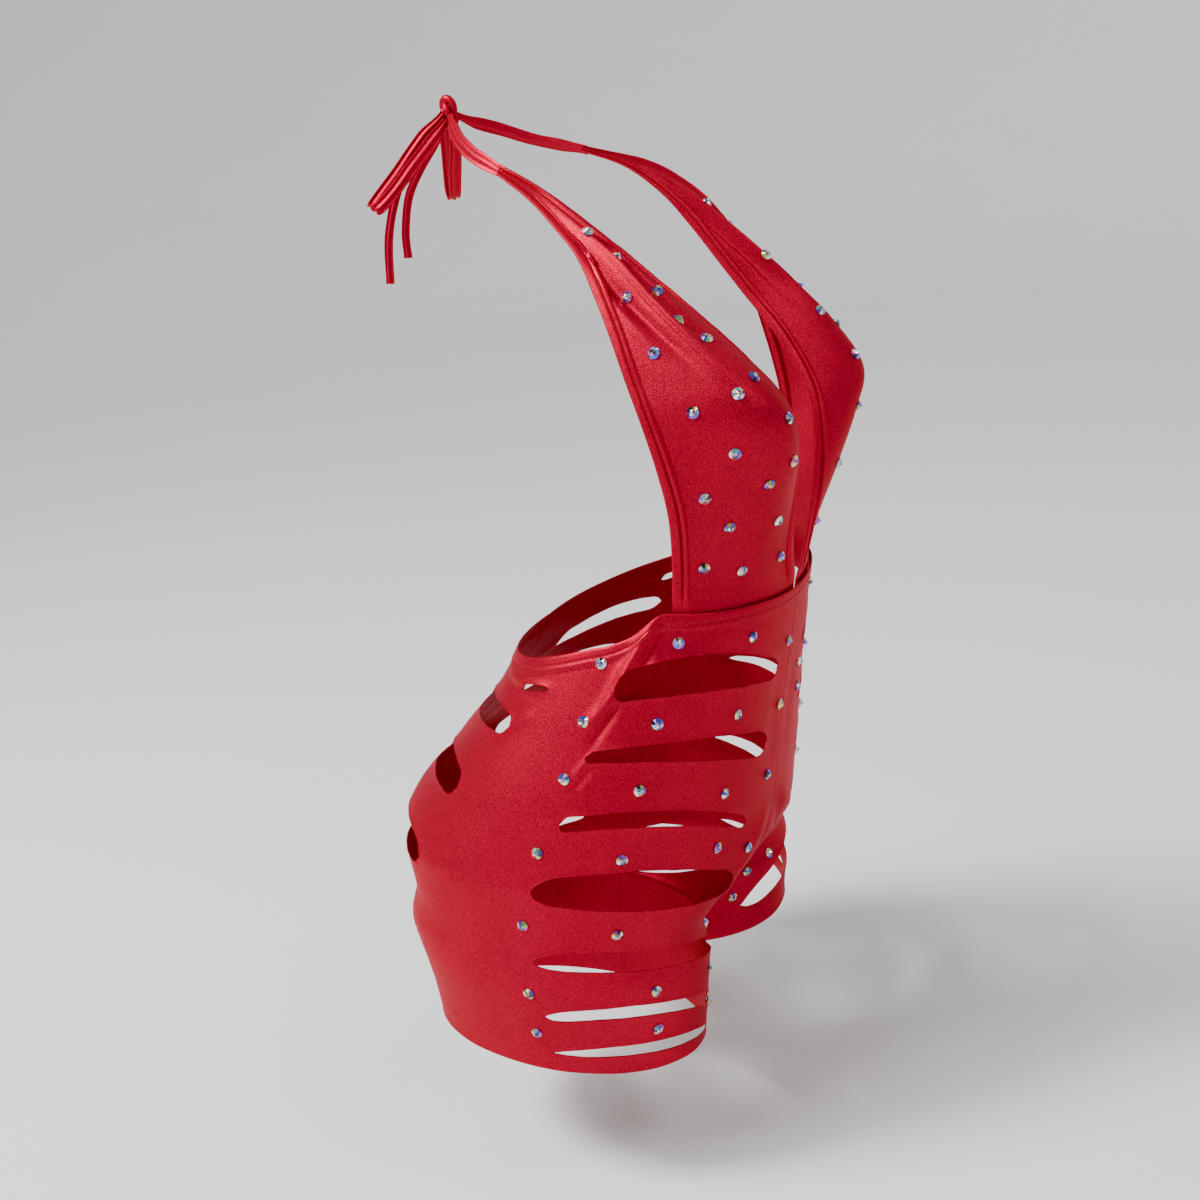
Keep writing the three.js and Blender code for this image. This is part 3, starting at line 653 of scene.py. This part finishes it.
# %% Folds of the bibs
# Each fold is a table of its own: at a row of the section table, how far across the bib it lies, how
# far it stands out, and how wide it is in mm on the side of the plunge and on the side of the arm.
FOLD_NAMES = "row across height inner outer"
FOLDS = {
    RIGHT: [table(FOLD_NAMES, rows) for rows in [
        [(4.5, 0.40, 0, 5, 9), (5.2, 0.43, 2.2, 5, 8), (6, 0.485, 5.4, 4, 6), (6.7, 0.52, 7.0, 3.2, 5.4),
         (7.6, 0.55, 7.8, 2.8, 5), (8.4, 0.55, 6.8, 2.5, 4.4), (9.2, 0.51, 4.4, 2.2, 3.4),
         (9.9, 0.50, 2.2, 2, 2.6), (10.5, 0.50, 0.8, 1.6, 2.2), (11, 0.5, 0, 1.5, 2)],
        [(5, 0.35, 0, 5, 4), (5.8, 0.36, -1.6, 5, 3.6), (6.6, 0.37, -2.8, 5, 3.2), (7.4, 0.36, -3.4, 5, 3),
         (8.2, 0.33, -3.0, 4, 2.6), (9, 0.28, -1.8, 3, 2), (10, 0.26, 0, 2, 1.6)],
        [(6.2, 0.27, 0, 1.6, 1.6), (7, 0.26, 1.6, 1.6, 1.6), (7.8, 0.24, 1.8, 1.5, 1.5),
         (8.6, 0.22, 0, 1.4, 1.4)],
        [(4.6, 0.55, 0, 5, 7), (5.4, 0.60, -2.0, 4, 6), (6, 0.66, -3.8, 3.2, 4.6), (6.8, 0.72, -4.8, 2.8, 4),
         (7.5, 0.78, -4.8, 2.8, 3.4), (8.3, 0.80, -2.8, 2.4, 2.4), (9.1, 0.76, -1.0, 2, 2),
         (9.8, 0.7, 0, 2, 2)],
        [(5.3, 0.74, 0, 3.5, 4), (6.1, 0.81, 1.6, 3, 3.6), (7, 0.88, 2.0, 2.6, 3), (7.9, 0.93, 0, 2.4, 2.4)],
        [(4.9, 0.45, 0, 1.8, 1.8), (5.5, 0.49, -1.2, 1.6, 1.6), (6.2, 0.545, -1.8, 1.5, 1.5),
         (7, 0.585, -1.8, 1.5, 1.5), (7.8, 0.61, -1.2, 1.5, 1.5), (8.6, 0.62, 0, 1.5, 1.5)],
    ]],
    LEFT: [table(FOLD_NAMES, rows) for rows in [
        [(4.9, 0.22, 0, 5, 8), (5.7, 0.24, 2.8, 4, 6.4), (6.6, 0.28, 5.2, 3.4, 6), (7.6, 0.34, 6.2, 3.4, 6),
         (8.6, 0.40, 5.8, 3, 5), (9.4, 0.46, 4, 2.4, 3.6), (10.2, 0.5, 0, 2, 3)],
        [(5.2, 0.10, 0, 2.6, 3), (6, 0.12, -2.0, 2.4, 3), (7, 0.18, -3.2, 2.4, 3), (7.8, 0.19, -3, 2.2, 2.8),
         (8.7, 0.2, -1.8, 2, 2.4), (9.5, 0.22, 0, 2, 2)],
        [(5.4, 0.06, 0, 1.8, 2), (6.4, 0.07, 1.4, 1.8, 2), (7.4, 0.1, 1.6, 1.8, 2), (8.2, 0.12, 0, 1.6, 2)],
        [(5.2, 0.60, 0, 5, 5), (6.2, 0.62, -2.4, 4, 4), (7.2, 0.66, -3, 4, 4), (8.2, 0.70, -2, 3, 3),
         (9.2, 0.72, 0, 2, 2)],
    ]],
}


def fold_height(side, row, across, breadth):
    """The sum of all folds. breadth is how wide the bib is at a row, in mm."""
    total = np.zeros(row.shape)
    for fold in FOLDS[side]:
        away = (across - along(fold, "row", "across", row)) * breadth
        width = np.where(away < 0, along(fold, "row", "inner", row), along(fold, "row", "outer", row))
        total = total + along(fold, "row", "height", row) * np.exp(-((away / width) ** 2))
    return total


def bib_row(side, row):
    """A smooth blend of the rows of a bib's table."""
    bib = BIBS[side]
    last = len(bib["ix"]) - 1
    k = np.clip(np.floor(row).astype(int), 0, last - 1)
    f = row - k
    blended = {}
    for name in BIB_NAMES.split():
        column = bib[name]
        padded = np.concatenate([[2 * column[0] - column[1]], column, [2 * column[-1] - column[-2]]])
        blended[name] = catmull_rom(*(padded[k + step] for step in range(4)), f)
    return blended


def bib_point(side, row, across):
    """Points of a bib in mm. Its foot follows the shorts, one wall further in."""
    row, across = np.broadcast_arrays(np.asarray(row, float), np.asarray(across, float))
    section = bib_row(side, row)
    inner = np.stack([section["ix"], section["iy"], section["iz"]], -1)
    chord = np.stack([section["ox"], section["oy"], section["oz"]], -1) - inner
    out = unit(np.stack([chord[..., 1], -chord[..., 0], 0 * chord[..., 0]], -1)) * side
    even = np.clip(across, 1e-6, 1) ** (np.log(0.5) / np.log(section["peak"]))
    folded = fold_height(side, row, across, np.linalg.norm(chord, axis=-1))
    stand = section["cup"] * np.maximum(np.sin(np.pi * even), 0) ** 0.92 + folded
    free = inner + chord * across[..., None] + out * stand[..., None] - NAPE
    t = lerp(TUCK_FROM, TUCK_TO, across)
    s = waist_height(t) - TUCK_DEPTH + np.minimum(row, 1) * FIRST_RISE
    foot = shorts_point(s, t, side) - shorts_normal(s, t, side) * TUCK_CLEAR
    return lerp(foot, free, smoothstep(row, 0.3, 1)[..., None])


def bib_normal(side, row, across):
    return normal_of(lambda a, b: bib_point(side, b, a), across, row, side, 5e-3, 0.05)


SHARES = np.linspace(0, 1, 121)


def across_at(side, rows, distances, from_arm):
    """The shares across a bib at which the cloth has run some distances from one of its edges."""
    lines = bib_point(side, rows[:, None], 1 - SHARES if from_arm else SHARES)
    steps = np.linalg.norm(np.diff(lines, axis=1), axis=2)
    runs = np.concatenate([np.zeros((len(rows), 1)), np.cumsum(steps, axis=1)], axis=1)
    places = np.stack([np.interp(wanted, run, SHARES) for wanted, run in zip(distances, runs)])
    return 1 - places if from_arm else places


# %% Build the two panels
PANEL_ROWS, PANEL_COLUMNS = 168, 74


def build_bib(side):
    rows = np.linspace(0, PANEL_TOP, PANEL_ROWS)
    margin = along(BINDING_WIDTH, "row", "width", rows)[:, None] - 1.2
    share = np.linspace(0, 1, PANEL_COLUMNS)
    across = lerp(across_at(side, rows, margin, False), across_at(side, rows, margin, True), share)
    grid_rows = np.broadcast_to(rows[:, None], across.shape)
    points = bib_point(side, grid_rows, across)
    width, height = 120 * MM, 330 * MM
    uvs = np.stack([np.broadcast_to(share * width, across.shape), grid_rows / PANEL_TOP * height], -1)
    faces = grid_faces(*across.shape, flip=side < 0)
    hand = HANDS[side]
    bib = mesh_piece(f"bib_panel_{hand}", points.reshape(-1, 3), faces, uvs.reshape(-1, 2))
    thicken(bib, CLOTH)
    finish_piece(bib, SATIN, [f"bib_{hand}"])
    return bib


bibs = {side: build_bib(side) for side in (RIGHT, LEFT)}

# %% [markdown]
# ## The bindings
# A binding is a strip folded round the raw edge. It shows as a flat band, a sunk row of stitches,
# and a rolled ridge beside the panel. One cross-section, swept along the edge, gives all three.

# %% Build the four bindings
BINDING_SECTION = table("across raise", [
    (0, 0.1), (0.03, 0.9), (0.09, 1.3), (0.3, 1.25), (0.48, 1.1), (0.54, 0.4), (0.575, 0.05), (0.61, 0.5),
    (0.66, 1.5), (0.74, 2.2), (0.82, 2.2), (0.9, 1.6), (0.96, 0.6), (1, 0.1),
])
STITCH_ACROSS = 0.575
BINDING_ROWS = 190


def binding_points(side, from_arm, rows, share):
    """Points and normals over a binding: rows along it and shares of its width."""
    width = along(BINDING_WIDTH, "row", "width", rows)[:, None]
    across = across_at(side, rows, width * share, from_arm)
    grid_rows = np.broadcast_to(rows[:, None], across.shape)
    return bib_point(side, grid_rows, across), bib_normal(side, grid_rows, across)


def build_binding(side, from_arm):
    rows = np.linspace(0, LAST_ROW, BINDING_ROWS)
    share = np.linspace(0, 1, 27)
    points, normals = binding_points(side, from_arm, rows, share)
    lift = along(BINDING_SECTION, "across", "raise", share)[None, :] * smoothstep(rows, 0.3, 0.7)[:, None]
    lift = lift * (1 + 0.08 * wobble(rows * 5, side + from_arm)[:, None])
    points = points + normals * lift[..., None]
    uvs = np.stack([np.broadcast_to(share * 12 * MM, lift.shape),
                    np.broadcast_to(rows[:, None] * 30 * MM, lift.shape)], -1)
    flip = (side < 0) != from_arm
    faces = grid_faces(*lift.shape, flip=flip)
    name = f"{'arm' if from_arm else 'plunge'}_{HANDS[side]}"
    binding = mesh_piece(f"edge_{name}", points.reshape(-1, 3), faces, uvs.reshape(-1, 2))
    thicken(binding, 1.3)
    finish_piece(binding, TRIM_PAINTED_LIGHTER, [f"binding_{name}"])
    return binding


bindings = {(side, arm): build_binding(side, arm) for side in (RIGHT, LEFT) for arm in (False, True)}

# %% [markdown]
# ## Ties, knot and bow
# The bindings run on as two ties that meet in a knot at the nape. The bow behind it is made of flat
# bands of folded satin, so each band has two or three ridges along it where its layers lie.

# %% Bands through given points
# The last vector of a row shows which way the band is turned: for a tie or a tail it is what lies under
# the band, and for a loop it is the direction across its width.
BAND_NAMES = "name width thick turned points"
TIES = named(BAND_NAMES, [
    ("neck_tie_right", 10.4, 2.2, (0.75, -0.35, -0.55),
     [(-50.0, 23.0, 544.6), (-49.1, 29.3, 547.3), (-45, 41, 553), (-37, 55, 560), (-25, 69, 569),
      (-13, 79, 577), (-4, 85, 584)]),
    ("neck_tie_left", 10.4, 2.2, (-0.75, -0.35, -0.55),
     [(52.2, 6.5, 550.2), (51.8, 11.6, 552), (50, 27, 556), (43, 46, 562), (30, 64, 571), (15, 77, 578),
      (5, 85, 584)]),
])
TAILS = named(BAND_NAMES, [
    ("bow_tail_right", 6.4, 2, (0.87, 0.45, 0.13),
     [(-2.3, 92, 581), (-3.2, 106.8, 570), (-5.3, 123.9, 552.5), (-7.7, 135.8, 531.4), (-12.3, 143.5, 502.1),
      (-16, 145, 469)]),
    ("bow_tail_left", 6.4, 2, (0.87, 0.45, 0.13),
     [(1.2, 93, 580), (2.9, 105, 565), (6.1, 120.2, 549.3), (7.5, 134.2, 529.2), (9.4, 142, 503.9),
      (11.7, 144, 484.5)]),
])
LOOPS = named(BAND_NAMES, [
    ("bow_loop_right", 9.6, 2.2, (0.34, -0.62, -0.68),
     [(-3.5, 90.5, 586), (-12, 100.5, 574.5), (-21.9, 110.1, 560.5), (-31.5, 116.9, 548.6),
      (-41.4, 124.2, 536.7), (-49.5, 129.5, 527), (-52, 122.5, 527), (-42.5, 113.2, 538.5),
      (-31.5, 105.7, 551.3), (-20, 98, 563.5), (-4.5, 88.5, 581)]),
    ("bow_loop_left", 9.6, 2.2, (-0.79, 0.58, -0.1),
     [(4, 90.5, 587), (16, 102, 579), (33, 112, 562), (47, 121, 546), (57, 127, 532), (61, 128, 524),
      (54, 122, 525), (40, 112, 539), (25, 101, 556), (15, 94, 568), (5, 89, 579)]),
])
KNOT_MIDDLE = np.array([0, 88, 586]) - NAPE
PINCH, PINCH_FROM, PINCH_TO = 0.5, 8, 26  # near the knot a band is drawn together to half its width
BUNCHED = 1.35  # and it is this much thicker there
TIE_START, START_RUN = 0.5, 22  # a tie grows out of the two bindings over this run


def smooth_path(points, count):
    """Points evenly spaced along a smooth curve through the given ones, and its length."""
    given = np.array(points, float)
    padded = np.concatenate([2 * given[:1] - given[1:2], given, 2 * given[-1:] - given[-2:-1]])
    fine = []
    for k in range(len(given) - 1):
        fine.append(catmull_rom(*padded[k:k + 4], np.linspace(0, 1, 24, endpoint=False)[:, None]))
    fine = np.concatenate([*fine, given[-1:]])
    run = np.concatenate([[0], np.cumsum(np.linalg.norm(np.diff(fine, axis=0), axis=1))])
    even = np.linspace(0, run[-1], count)
    return np.stack([np.interp(even, run, fine[:, axis]) for axis in range(3)], 1), run[-1]


def build_band(band, crosswise, ridges, depth, seed, start=1):
    """A closed strip with an oval section, its faces thrown into ridges that run along it."""
    count, around = 110, 48
    path, length = smooth_path(band["points"], count)
    tangent = unit(np.gradient(path, axis=0))
    turned = np.broadcast_to(np.array(band["turned"], float), tangent.shape)
    if crosswise:
        across = unit(turned - (turned * tangent).sum(1, keepdims=True) * tangent)
    else:
        across = unit(np.cross(tangent, turned))
    facing = unit(np.cross(tangent, across))
    angle = np.linspace(0, 2 * np.pi, around, endpoint=False)
    run = np.linspace(0, 1, count)[:, None]
    near = smoothstep(np.linalg.norm(path - NAPE - KNOT_MIDDLE, axis=1), PINCH_FROM, PINCH_TO)[:, None]
    flat = signed_power(np.cos(angle), 0.8) * band["width"] / 2
    high = signed_power(np.sin(angle), 0.7) * band["thick"] / 2
    drift = 0.9 * wobble(run * 4, seed)
    folds = depth * np.cos(2 * np.pi * ridges * flat / band["width"] + drift)
    folds = folds * np.abs(np.sin(angle)) ** 0.5 * np.sign(np.sin(angle))
    broad = (1 + 0.07 * wobble(run * 6, seed + 1)) * lerp(PINCH, 1, near)
    slim = lerp(start, 1, smoothstep(run * length, 0, START_RUN))
    high = (high * lerp(BUNCHED, 1, near) + folds) * slim
    broad = broad * lerp(0.5, 1, slim)
    ring = path[:, None, :] - NAPE + across[:, None, :] * (flat * broad)[..., None]
    points = (ring + facing[:, None, :] * high[..., None]).reshape(-1, 3)
    first = np.arange(count - 1)[:, None] * around + np.arange(around)[None, :]
    second = np.arange(count - 1)[:, None] * around + (np.arange(around)[None, :] + 1) % around
    faces = np.stack([first, second, second + around, first + around], -1).reshape(-1, 4).tolist()
    ends = [list(range(around))[::-1], list(range((count - 1) * around, count * around))]
    piece = mesh_piece(f"{band['name']}_band", points, faces + ends)
    edit_all(piece, bpy.ops.mesh.normals_make_consistent, inside=False)
    finish_piece(piece, TRIM_PAINTED_LIGHTER, [band["name"]])
    return piece, length


bands = {}
for number, band in enumerate(TIES + TAILS):
    ridges, start = (1.5, TIE_START) if band in TIES else (2, 1)
    bands[band["name"]] = build_band(band, False, ridges, 0.5, 1.9 * number, start)
for number, band in enumerate(LOOPS):
    bands[band["name"]] = build_band(band, True, 2, 0.8, 1.9 * number)

# %% Wind the knot
# Each turn: its middle off the knot's middle, its tilt in degrees about X, Y and Z, its radius,
# and how thick it is.
TURNS = [
    ((0, 0, 4.2), (12, 74, 0), 5.0, 2.5),
    ((0, 0.5, -3.4), (-16, 82, 8), 4.8, 2.5),
    ((0, 0.6, 0.4), (72, 10, 20), 4.8, 2.3),
    ((0.8, 0.4, 0.8), (38, 58, -30), 4.6, 2.1),
]


def wind_knot():
    """Torus primitives laid across each other, squashed and joined: the turns of the tie."""
    turns = []
    for offset, tilt, radius, thick in TURNS:
        bpy.ops.object.select_all(action="DESELECT")
        bpy.ops.mesh.primitive_torus_add(
            major_segments=48, minor_segments=20, major_radius=radius * MM, minor_radius=thick * MM,
            location=(KNOT_MIDDLE + np.array(offset)) * MM, rotation=np.radians(tilt))
        turns.append(bpy.context.object)
        edit_all(turns[-1], bpy.ops.transform.resize, value=(1.0, 1.0, 1.15))
    bpy.ops.object.select_all(action="DESELECT")
    for turn in turns:
        turn.select_set(True)
    bpy.context.view_layer.objects.active = turns[0]
    bpy.ops.object.join()
    knot = bpy.context.object
    knot.name = "knot_turns"
    bpy.ops.object.transform_apply(location=True, rotation=True, scale=True)
    return knot


knot = wind_knot()
finish_piece(knot, TRIM_PAINTED_LIGHTER, ["knot"])

# %% [markdown]
# ## The stones
# The stones are 8 mm across and pointed, with a thin girdle, sixteen lower and eight upper facets.
# One stone is modelled: a cylinder for the girdle and a cone for the crown, closed by a convex hull,
# which lays the facets by itself. Copies of it are set on the cloth along its normals.

# %% Model one stone
STONE_RADIUS, GIRDLE, CROWN_RADIUS, CROWN_FOOT, STONE_HEIGHT = 4.0, 0.6, 2.1, 2.2, 3.5


def model_stone():
    bpy.ops.object.select_all(action="DESELECT")
    bpy.ops.mesh.primitive_cylinder_add(
        vertices=16, radius=STONE_RADIUS * MM, depth=GIRDLE * MM, location=(0, 0, GIRDLE / 2 * MM))
    stone = bpy.context.object
    bpy.ops.object.transform_apply(location=True)
    bpy.ops.object.mode_set(mode="EDIT")
    crown = STONE_HEIGHT - CROWN_FOOT
    bpy.ops.mesh.primitive_cone_add(
        vertices=8, radius1=CROWN_RADIUS * MM, radius2=0, depth=crown * MM, end_fill_type="NOTHING",
        location=(0, 0, (CROWN_FOOT + crown / 2) * MM))
    bpy.ops.mesh.select_all(action="SELECT")
    bpy.ops.mesh.convex_hull()
    bpy.ops.object.mode_set(mode="OBJECT")
    return take_apart(stone)


stone_points, stone_faces = model_stone()
SECTORS = 8  # facets in one eighth of the stone throw back one colour
middles = np.array([stone_points[face].mean(axis=0) for face in stone_faces])
turns_round = np.arctan2(middles[:, 1], middles[:, 0]) / (2 * np.pi)
stone_sectors = np.floor(turns_round * SECTORS).astype(int) % SECTORS
stone_sectors = stone_sectors + SECTORS * (middles[:, 2] > CROWN_FOOT * MM)
print("a stone has", len(stone_faces), "facets")

# %% Where the stones sit
# Stones of the legs: share of the way round from the front seam, and height, strip by strip.
LEG_STONES = {
    RIGHT: [
        (0.009, 213), (0.15, 236), (0.34, 242), (0.485, 226), (0.009, 163), (0.15, 180), (0.34, 189),
        (0.485, 189), (0.029, 114), (0.15, 125), (0.34, 146), (0.485, 152), (0.074, 73), (0.15, 88),
        (0.34, 100), (0.485, 102), (0.16, 7), (0.34, 46), (0.485, 49), (0.22, -18), (0.34, -3),
        (0.485, -3), (0.19, -60), (0.34, -37), (0.485, -38),
    ],
    LEFT: [
        (0.15, 236), (0.34, 242), (0.485, 226), (0.066, 180), (0.073, 158), (0.15, 180), (0.34, 189),
        (0.485, 189), (0.15, 127), (0.34, 146), (0.485, 152), (0.15, 88), (0.34, 101), (0.485, 102),
        (0.205, 3), (0.34, 55.5), (0.485, 56), (0.142, -24), (0.166, -3), (0.34, 20), (0.485, 16),
        (0.485, -26),
    ],
}
# Stones of the bibs: row of the section table, and share of the way from the plunge to the arm.
BIB_STONES = {
    RIGHT: [
        (8.7, 0.54), (7.9, 0.45), (7, 0.7), (7, 0.3), (6.3, 0.45), (5.6, 0.78), (5.8, 0.32), (4.9, 0.24),
        (4.6, 0.45), (4.2, 0.74), (3.9, 0.21), (3.3, 0.61), (3, 0.23), (2.6, 0.43), (2.4, 0.8),
        (1.8, 0.3), (1.8, 0.67), (1.1, 0.2), (1.05, 0.82), (0.95, 0.57),
    ],
    LEFT: [
        (8.6, 0.5), (7.9, 0.66), (7, 0.3), (6.9, 0.62), (6, 0.8), (5.9, 0.4), (5.3, 0.2), (4.9, 0.36),
        (4.8, 0.72), (4.3, 0.2), (4, 0.55), (3.4, 0.8), (3.1, 0.26), (2.9, 0.5), (2.3, 0.72), (2.1, 0.22),
        (1.8, 0.46), (1.2, 0.75), (1.15, 0.27), (0.95, 0.5),
    ],
}


def leg_places(side):
    t, s = np.array(LEG_STONES[side], float).T
    normals = shorts_normal(s, t, side)
    return shorts_point(s, t, side) + normals * (crease_height(t, s) + 0.1)[:, None], normals


def bib_places(side):
    rows, across = np.array(BIB_STONES[side], float).T
    normals = bib_normal(side, rows, across)
    return bib_point(side, rows, across) + normals * 0.1, normals


# %% Set the stones, each facet with a colour of its coat, some painted dark as reflection
# Colours of the rainbow coat and plain mirror white. The near-black is painted dark reflection, for facets
# that mirror something dark.
COAT_COLOURS_AND_PAINTED_DARK = [
    (0.85, 0.80, 0.62), (0.12, 0.06, 0.55), (0.05, 0.10, 0.60), (0.18, 0.50, 0.60), (0.30, 0.48, 0.12),
    (0.70, 0.48, 0.10), (0.45, 0.07, 0.40), (0.55, 0.50, 0.75), (0.01, 0.01, 0.04), (0.95, 0.95, 0.95),
]
FACET_COLOUR_ODDS = (0.13, 0.17, 0.12, 0.07, 0.08, 0.12, 0.08, 0.05, 0.12, 0.06)


def frame_on(normal):
    """Three axes with the third along a normal."""
    first = unit(np.cross(normal, (0.3, 0.2, 0.93)))
    return np.stack([first, np.cross(normal, first), normal])


def set_stones(name, places, seed):
    positions, normals = places
    chance = np.random.default_rng(seed)
    points, faces, colours = [], [], []
    for position, normal in zip(positions, normals):
        turn = chance.uniform(0, np.pi)
        spun = np.array([[np.cos(turn), np.sin(turn), 0], [-np.sin(turn), np.cos(turn), 0], [0, 0, 1]])
        start = len(points) * len(stone_points)
        points.append(stone_points / MM @ spun @ frame_on(normal) + position)
        faces += [[start + corner for corner in face] for face in stone_faces]
        colours.append(chance.choice(len(COAT_COLOURS_AND_PAINTED_DARK), SECTORS * 2, p=FACET_COLOUR_ODDS)[stone_sectors])
    stones = mesh_piece(name, np.concatenate(points), faces)
    layer = stones.data.color_attributes.new("facet", "FLOAT_COLOR", "CORNER")
    for face, pick in zip(stones.data.polygons, np.concatenate(colours)):
        for corner in face.loop_indices:
            layer.data[corner].color = (*COAT_COLOURS_AND_PAINTED_DARK[pick], 1)
    stones.data.materials.append(GLASS)
    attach(stones, "root")
    print(name, "has", len(positions), "stones")


for side, hand in HANDS.items():
    set_stones(f"stones_leg_{hand}", leg_places(side), 11 + side)
    set_stones(f"stones_bib_{hand}", bib_places(side), 21 + side)

# %% [markdown]
# ## The stitches
# Thread shows as short dashes sunk in the cloth, coloured darker than the cloth as painted shade. One
# dash is a small ball drawn out long, and copies of it follow each seam line at the length of a real stitch.

# %% Model a stitch and lay rows of it
STITCH_PITCH, STITCH_LENGTH, STITCH_WIDTH = 2.6, 1.9, 0.5


def model_stitch():
    bpy.ops.object.select_all(action="DESELECT")
    bpy.ops.mesh.primitive_uv_sphere_add(segments=6, ring_count=4, radius=0.5 * MM)
    dash = bpy.context.object
    edit_all(dash, bpy.ops.transform.resize, value=(STITCH_LENGTH, STITCH_WIDTH, STITCH_WIDTH))
    return take_apart(dash)


dash_points, dash_faces = model_stitch()


def lay_stitches(name, lines):
    """Rows of stitches as one piece. Each line is its points and the cloth's normals there."""
    points, faces = [], []
    for line, normals in lines:
        run = np.concatenate([[0], np.cumsum(np.linalg.norm(np.diff(line, axis=0), axis=1))])
        for place in np.arange(STITCH_PITCH, run[-1] - STITCH_PITCH, STITCH_PITCH):
            here, ahead = (
                np.array([np.interp(place + step, run, line[:, axis]) for axis in range(3)])
                for step in (0, 0.5))
            normal = unit(np.array([np.interp(place, run, normals[:, axis]) for axis in range(3)]))
            forward = unit(ahead - here)
            sideways = unit(np.cross(normal, forward))
            start = len(points) * len(dash_points)
            axes = np.stack([forward, sideways, np.cross(forward, sideways)])
            points.append(dash_points / MM @ axes + here)
            faces += [[start + corner for corner in face] for face in dash_faces]
    stitches = mesh_piece(name, np.concatenate(points), faces)
    stitches.data.materials.append(THREAD_PAINTED_DARKER)
    stitches.data.polygons.foreach_set("use_smooth", [True] * len(stitches.data.polygons))
    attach(stitches, "root")
    print(name, "has", len(points), "stitches")


def waist_line(side, below):
    t = np.linspace(0.004, 0.996, 400)
    s = waist_height(t) - below
    normals = shorts_normal(s, t, side)
    lift = crease_height(t, s) + turned_height(np.full_like(t, below))
    return shorts_point(s, t, side) + normals * (lift + 0.05)[:, None], normals


def binding_line(side, from_arm):
    rows = np.linspace(0.75, LAST_ROW, 160)
    points, normals = binding_points(side, from_arm, rows, np.array([STITCH_ACROSS]))
    return points[:, 0] + normals[:, 0] * 0.12, normals[:, 0]


for side, hand in HANDS.items():
    lay_stitches(f"stitches_waist_{hand}", [waist_line(side, row) for row in STITCH_ROWS])
    lay_stitches(f"stitches_bib_{hand}", [binding_line(side, arm) for arm in (False, True)])

# %% [markdown]
# ## The flat cuts
# For each band, the area of cloth that it takes and its length are worked out. Stretch satin is cut smaller
# than the body and stretches round it, by a tenth to a sixth. A bib is cut wider than it hangs, for its
# gathers.

DRAWN_IN = 0.92  # share of a band's area that is left where the knot pinches it
for band in TIES + TAILS + LOOPS:
    piece, length = bands[band["name"]]
    area = DRAWN_IN * (band["width"] + band["thick"]) * MM * length * MM
    length * MM

# %% [markdown]
# ## Floor and light
# The photograph has a plain white ground and soft light from above, behind the wearer's right. A pale
# floor that bends up into a wall shows no horizon. A wide soft sun lights everything alike, a key light
# adds the gleam on the hips, and two weaker lights open the shadows.

# %% A floor that curves up into a wall all round
FLOOR, FLAT_RADIUS = -0.76, 4.5
WALL_RINGS, RING_RISE, RING_SPREAD = 14, 0.5, 0.07
bpy.ops.object.select_all(action="DESELECT")
bpy.ops.mesh.primitive_circle_add(vertices=96, radius=FLAT_RADIUS, fill_type="TRIFAN", location=(0, 0, FLOOR))
floor = bpy.context.object
floor.name = "floor"
bpy.ops.object.mode_set(mode="EDIT")
bpy.ops.mesh.select_all(action="DESELECT")
bpy.ops.mesh.select_mode(type="VERT")
bpy.ops.mesh.select_non_manifold()
for ring in range(WALL_RINGS):
    bend = (ring + 0.5) / WALL_RINGS * np.pi / 2
    bpy.ops.mesh.extrude_region_move(TRANSFORM_OT_translate={"value": (0, 0, RING_RISE * np.sin(bend))})
    wider = 1 + RING_SPREAD * np.cos(bend)
    bpy.ops.transform.resize(value=(wider, wider, 1), center_override=(0, 0, FLOOR))
bpy.ops.mesh.select_all(action="SELECT")
bpy.ops.mesh.normals_make_consistent(inside=True)
bpy.ops.object.mode_set(mode="OBJECT")
bpy.ops.object.shade_smooth()
ground = Finish("pale ground")
where = ground.node("ShaderNodeTexCoord", out=3)
tone = ground.node("ShaderNodeTexNoise", {}, {"Vector": where, "Scale": 3})
shade = ground.mix(tone, (0.87, 0.87, 0.87, 1), (0.9, 0.9, 0.9, 1))
ground.shine(Base_Color=shade, Roughness=0.9 - 0.1 * tone, Specular_IOR_Level=0.1)
floor.data.materials.append(ground.material)


# %% Lights
def hang_light(data, location, direction):
    lamp = bpy.data.objects.new(data.name, data)
    bpy.context.scene.collection.objects.link(lamp)
    lamp.location = location
    lamp.rotation_euler = Vector(direction).to_track_quat("-Z", "Y").to_euler()


def area_light(name, location, size, power, target=(0, -0.1, -0.35)):
    data = bpy.data.lights.new(name, "AREA")
    data.shape = "DISK"
    data.size = size
    data.energy = power
    hang_light(data, location, Vector(target) - Vector(location))


area_light("key", (-1.1, 1.1, 1.4), 0.7, 72)
area_light("rim", (1.4, -0.9, 1.3), 1.0, 4)
area_light("front", (-0.35, -1.3, 1.2), 0.6, 9, (0, -0.2, -0.05))
soft_box = bpy.data.lights.new("soft box", "SUN")
soft_box.energy = 1.6
soft_box.angle = np.radians(30)
hang_light(soft_box, (0, 0, 0), (1.0, -0.7, -1.6))
world = bpy.data.worlds.new("studio")
bpy.context.scene.world = world
world.use_nodes = True
background = world.node_tree.nodes["Background"]
background.inputs["Color"].default_value = (1, 1, 1, 1)
background.inputs["Strength"].default_value = 0.3
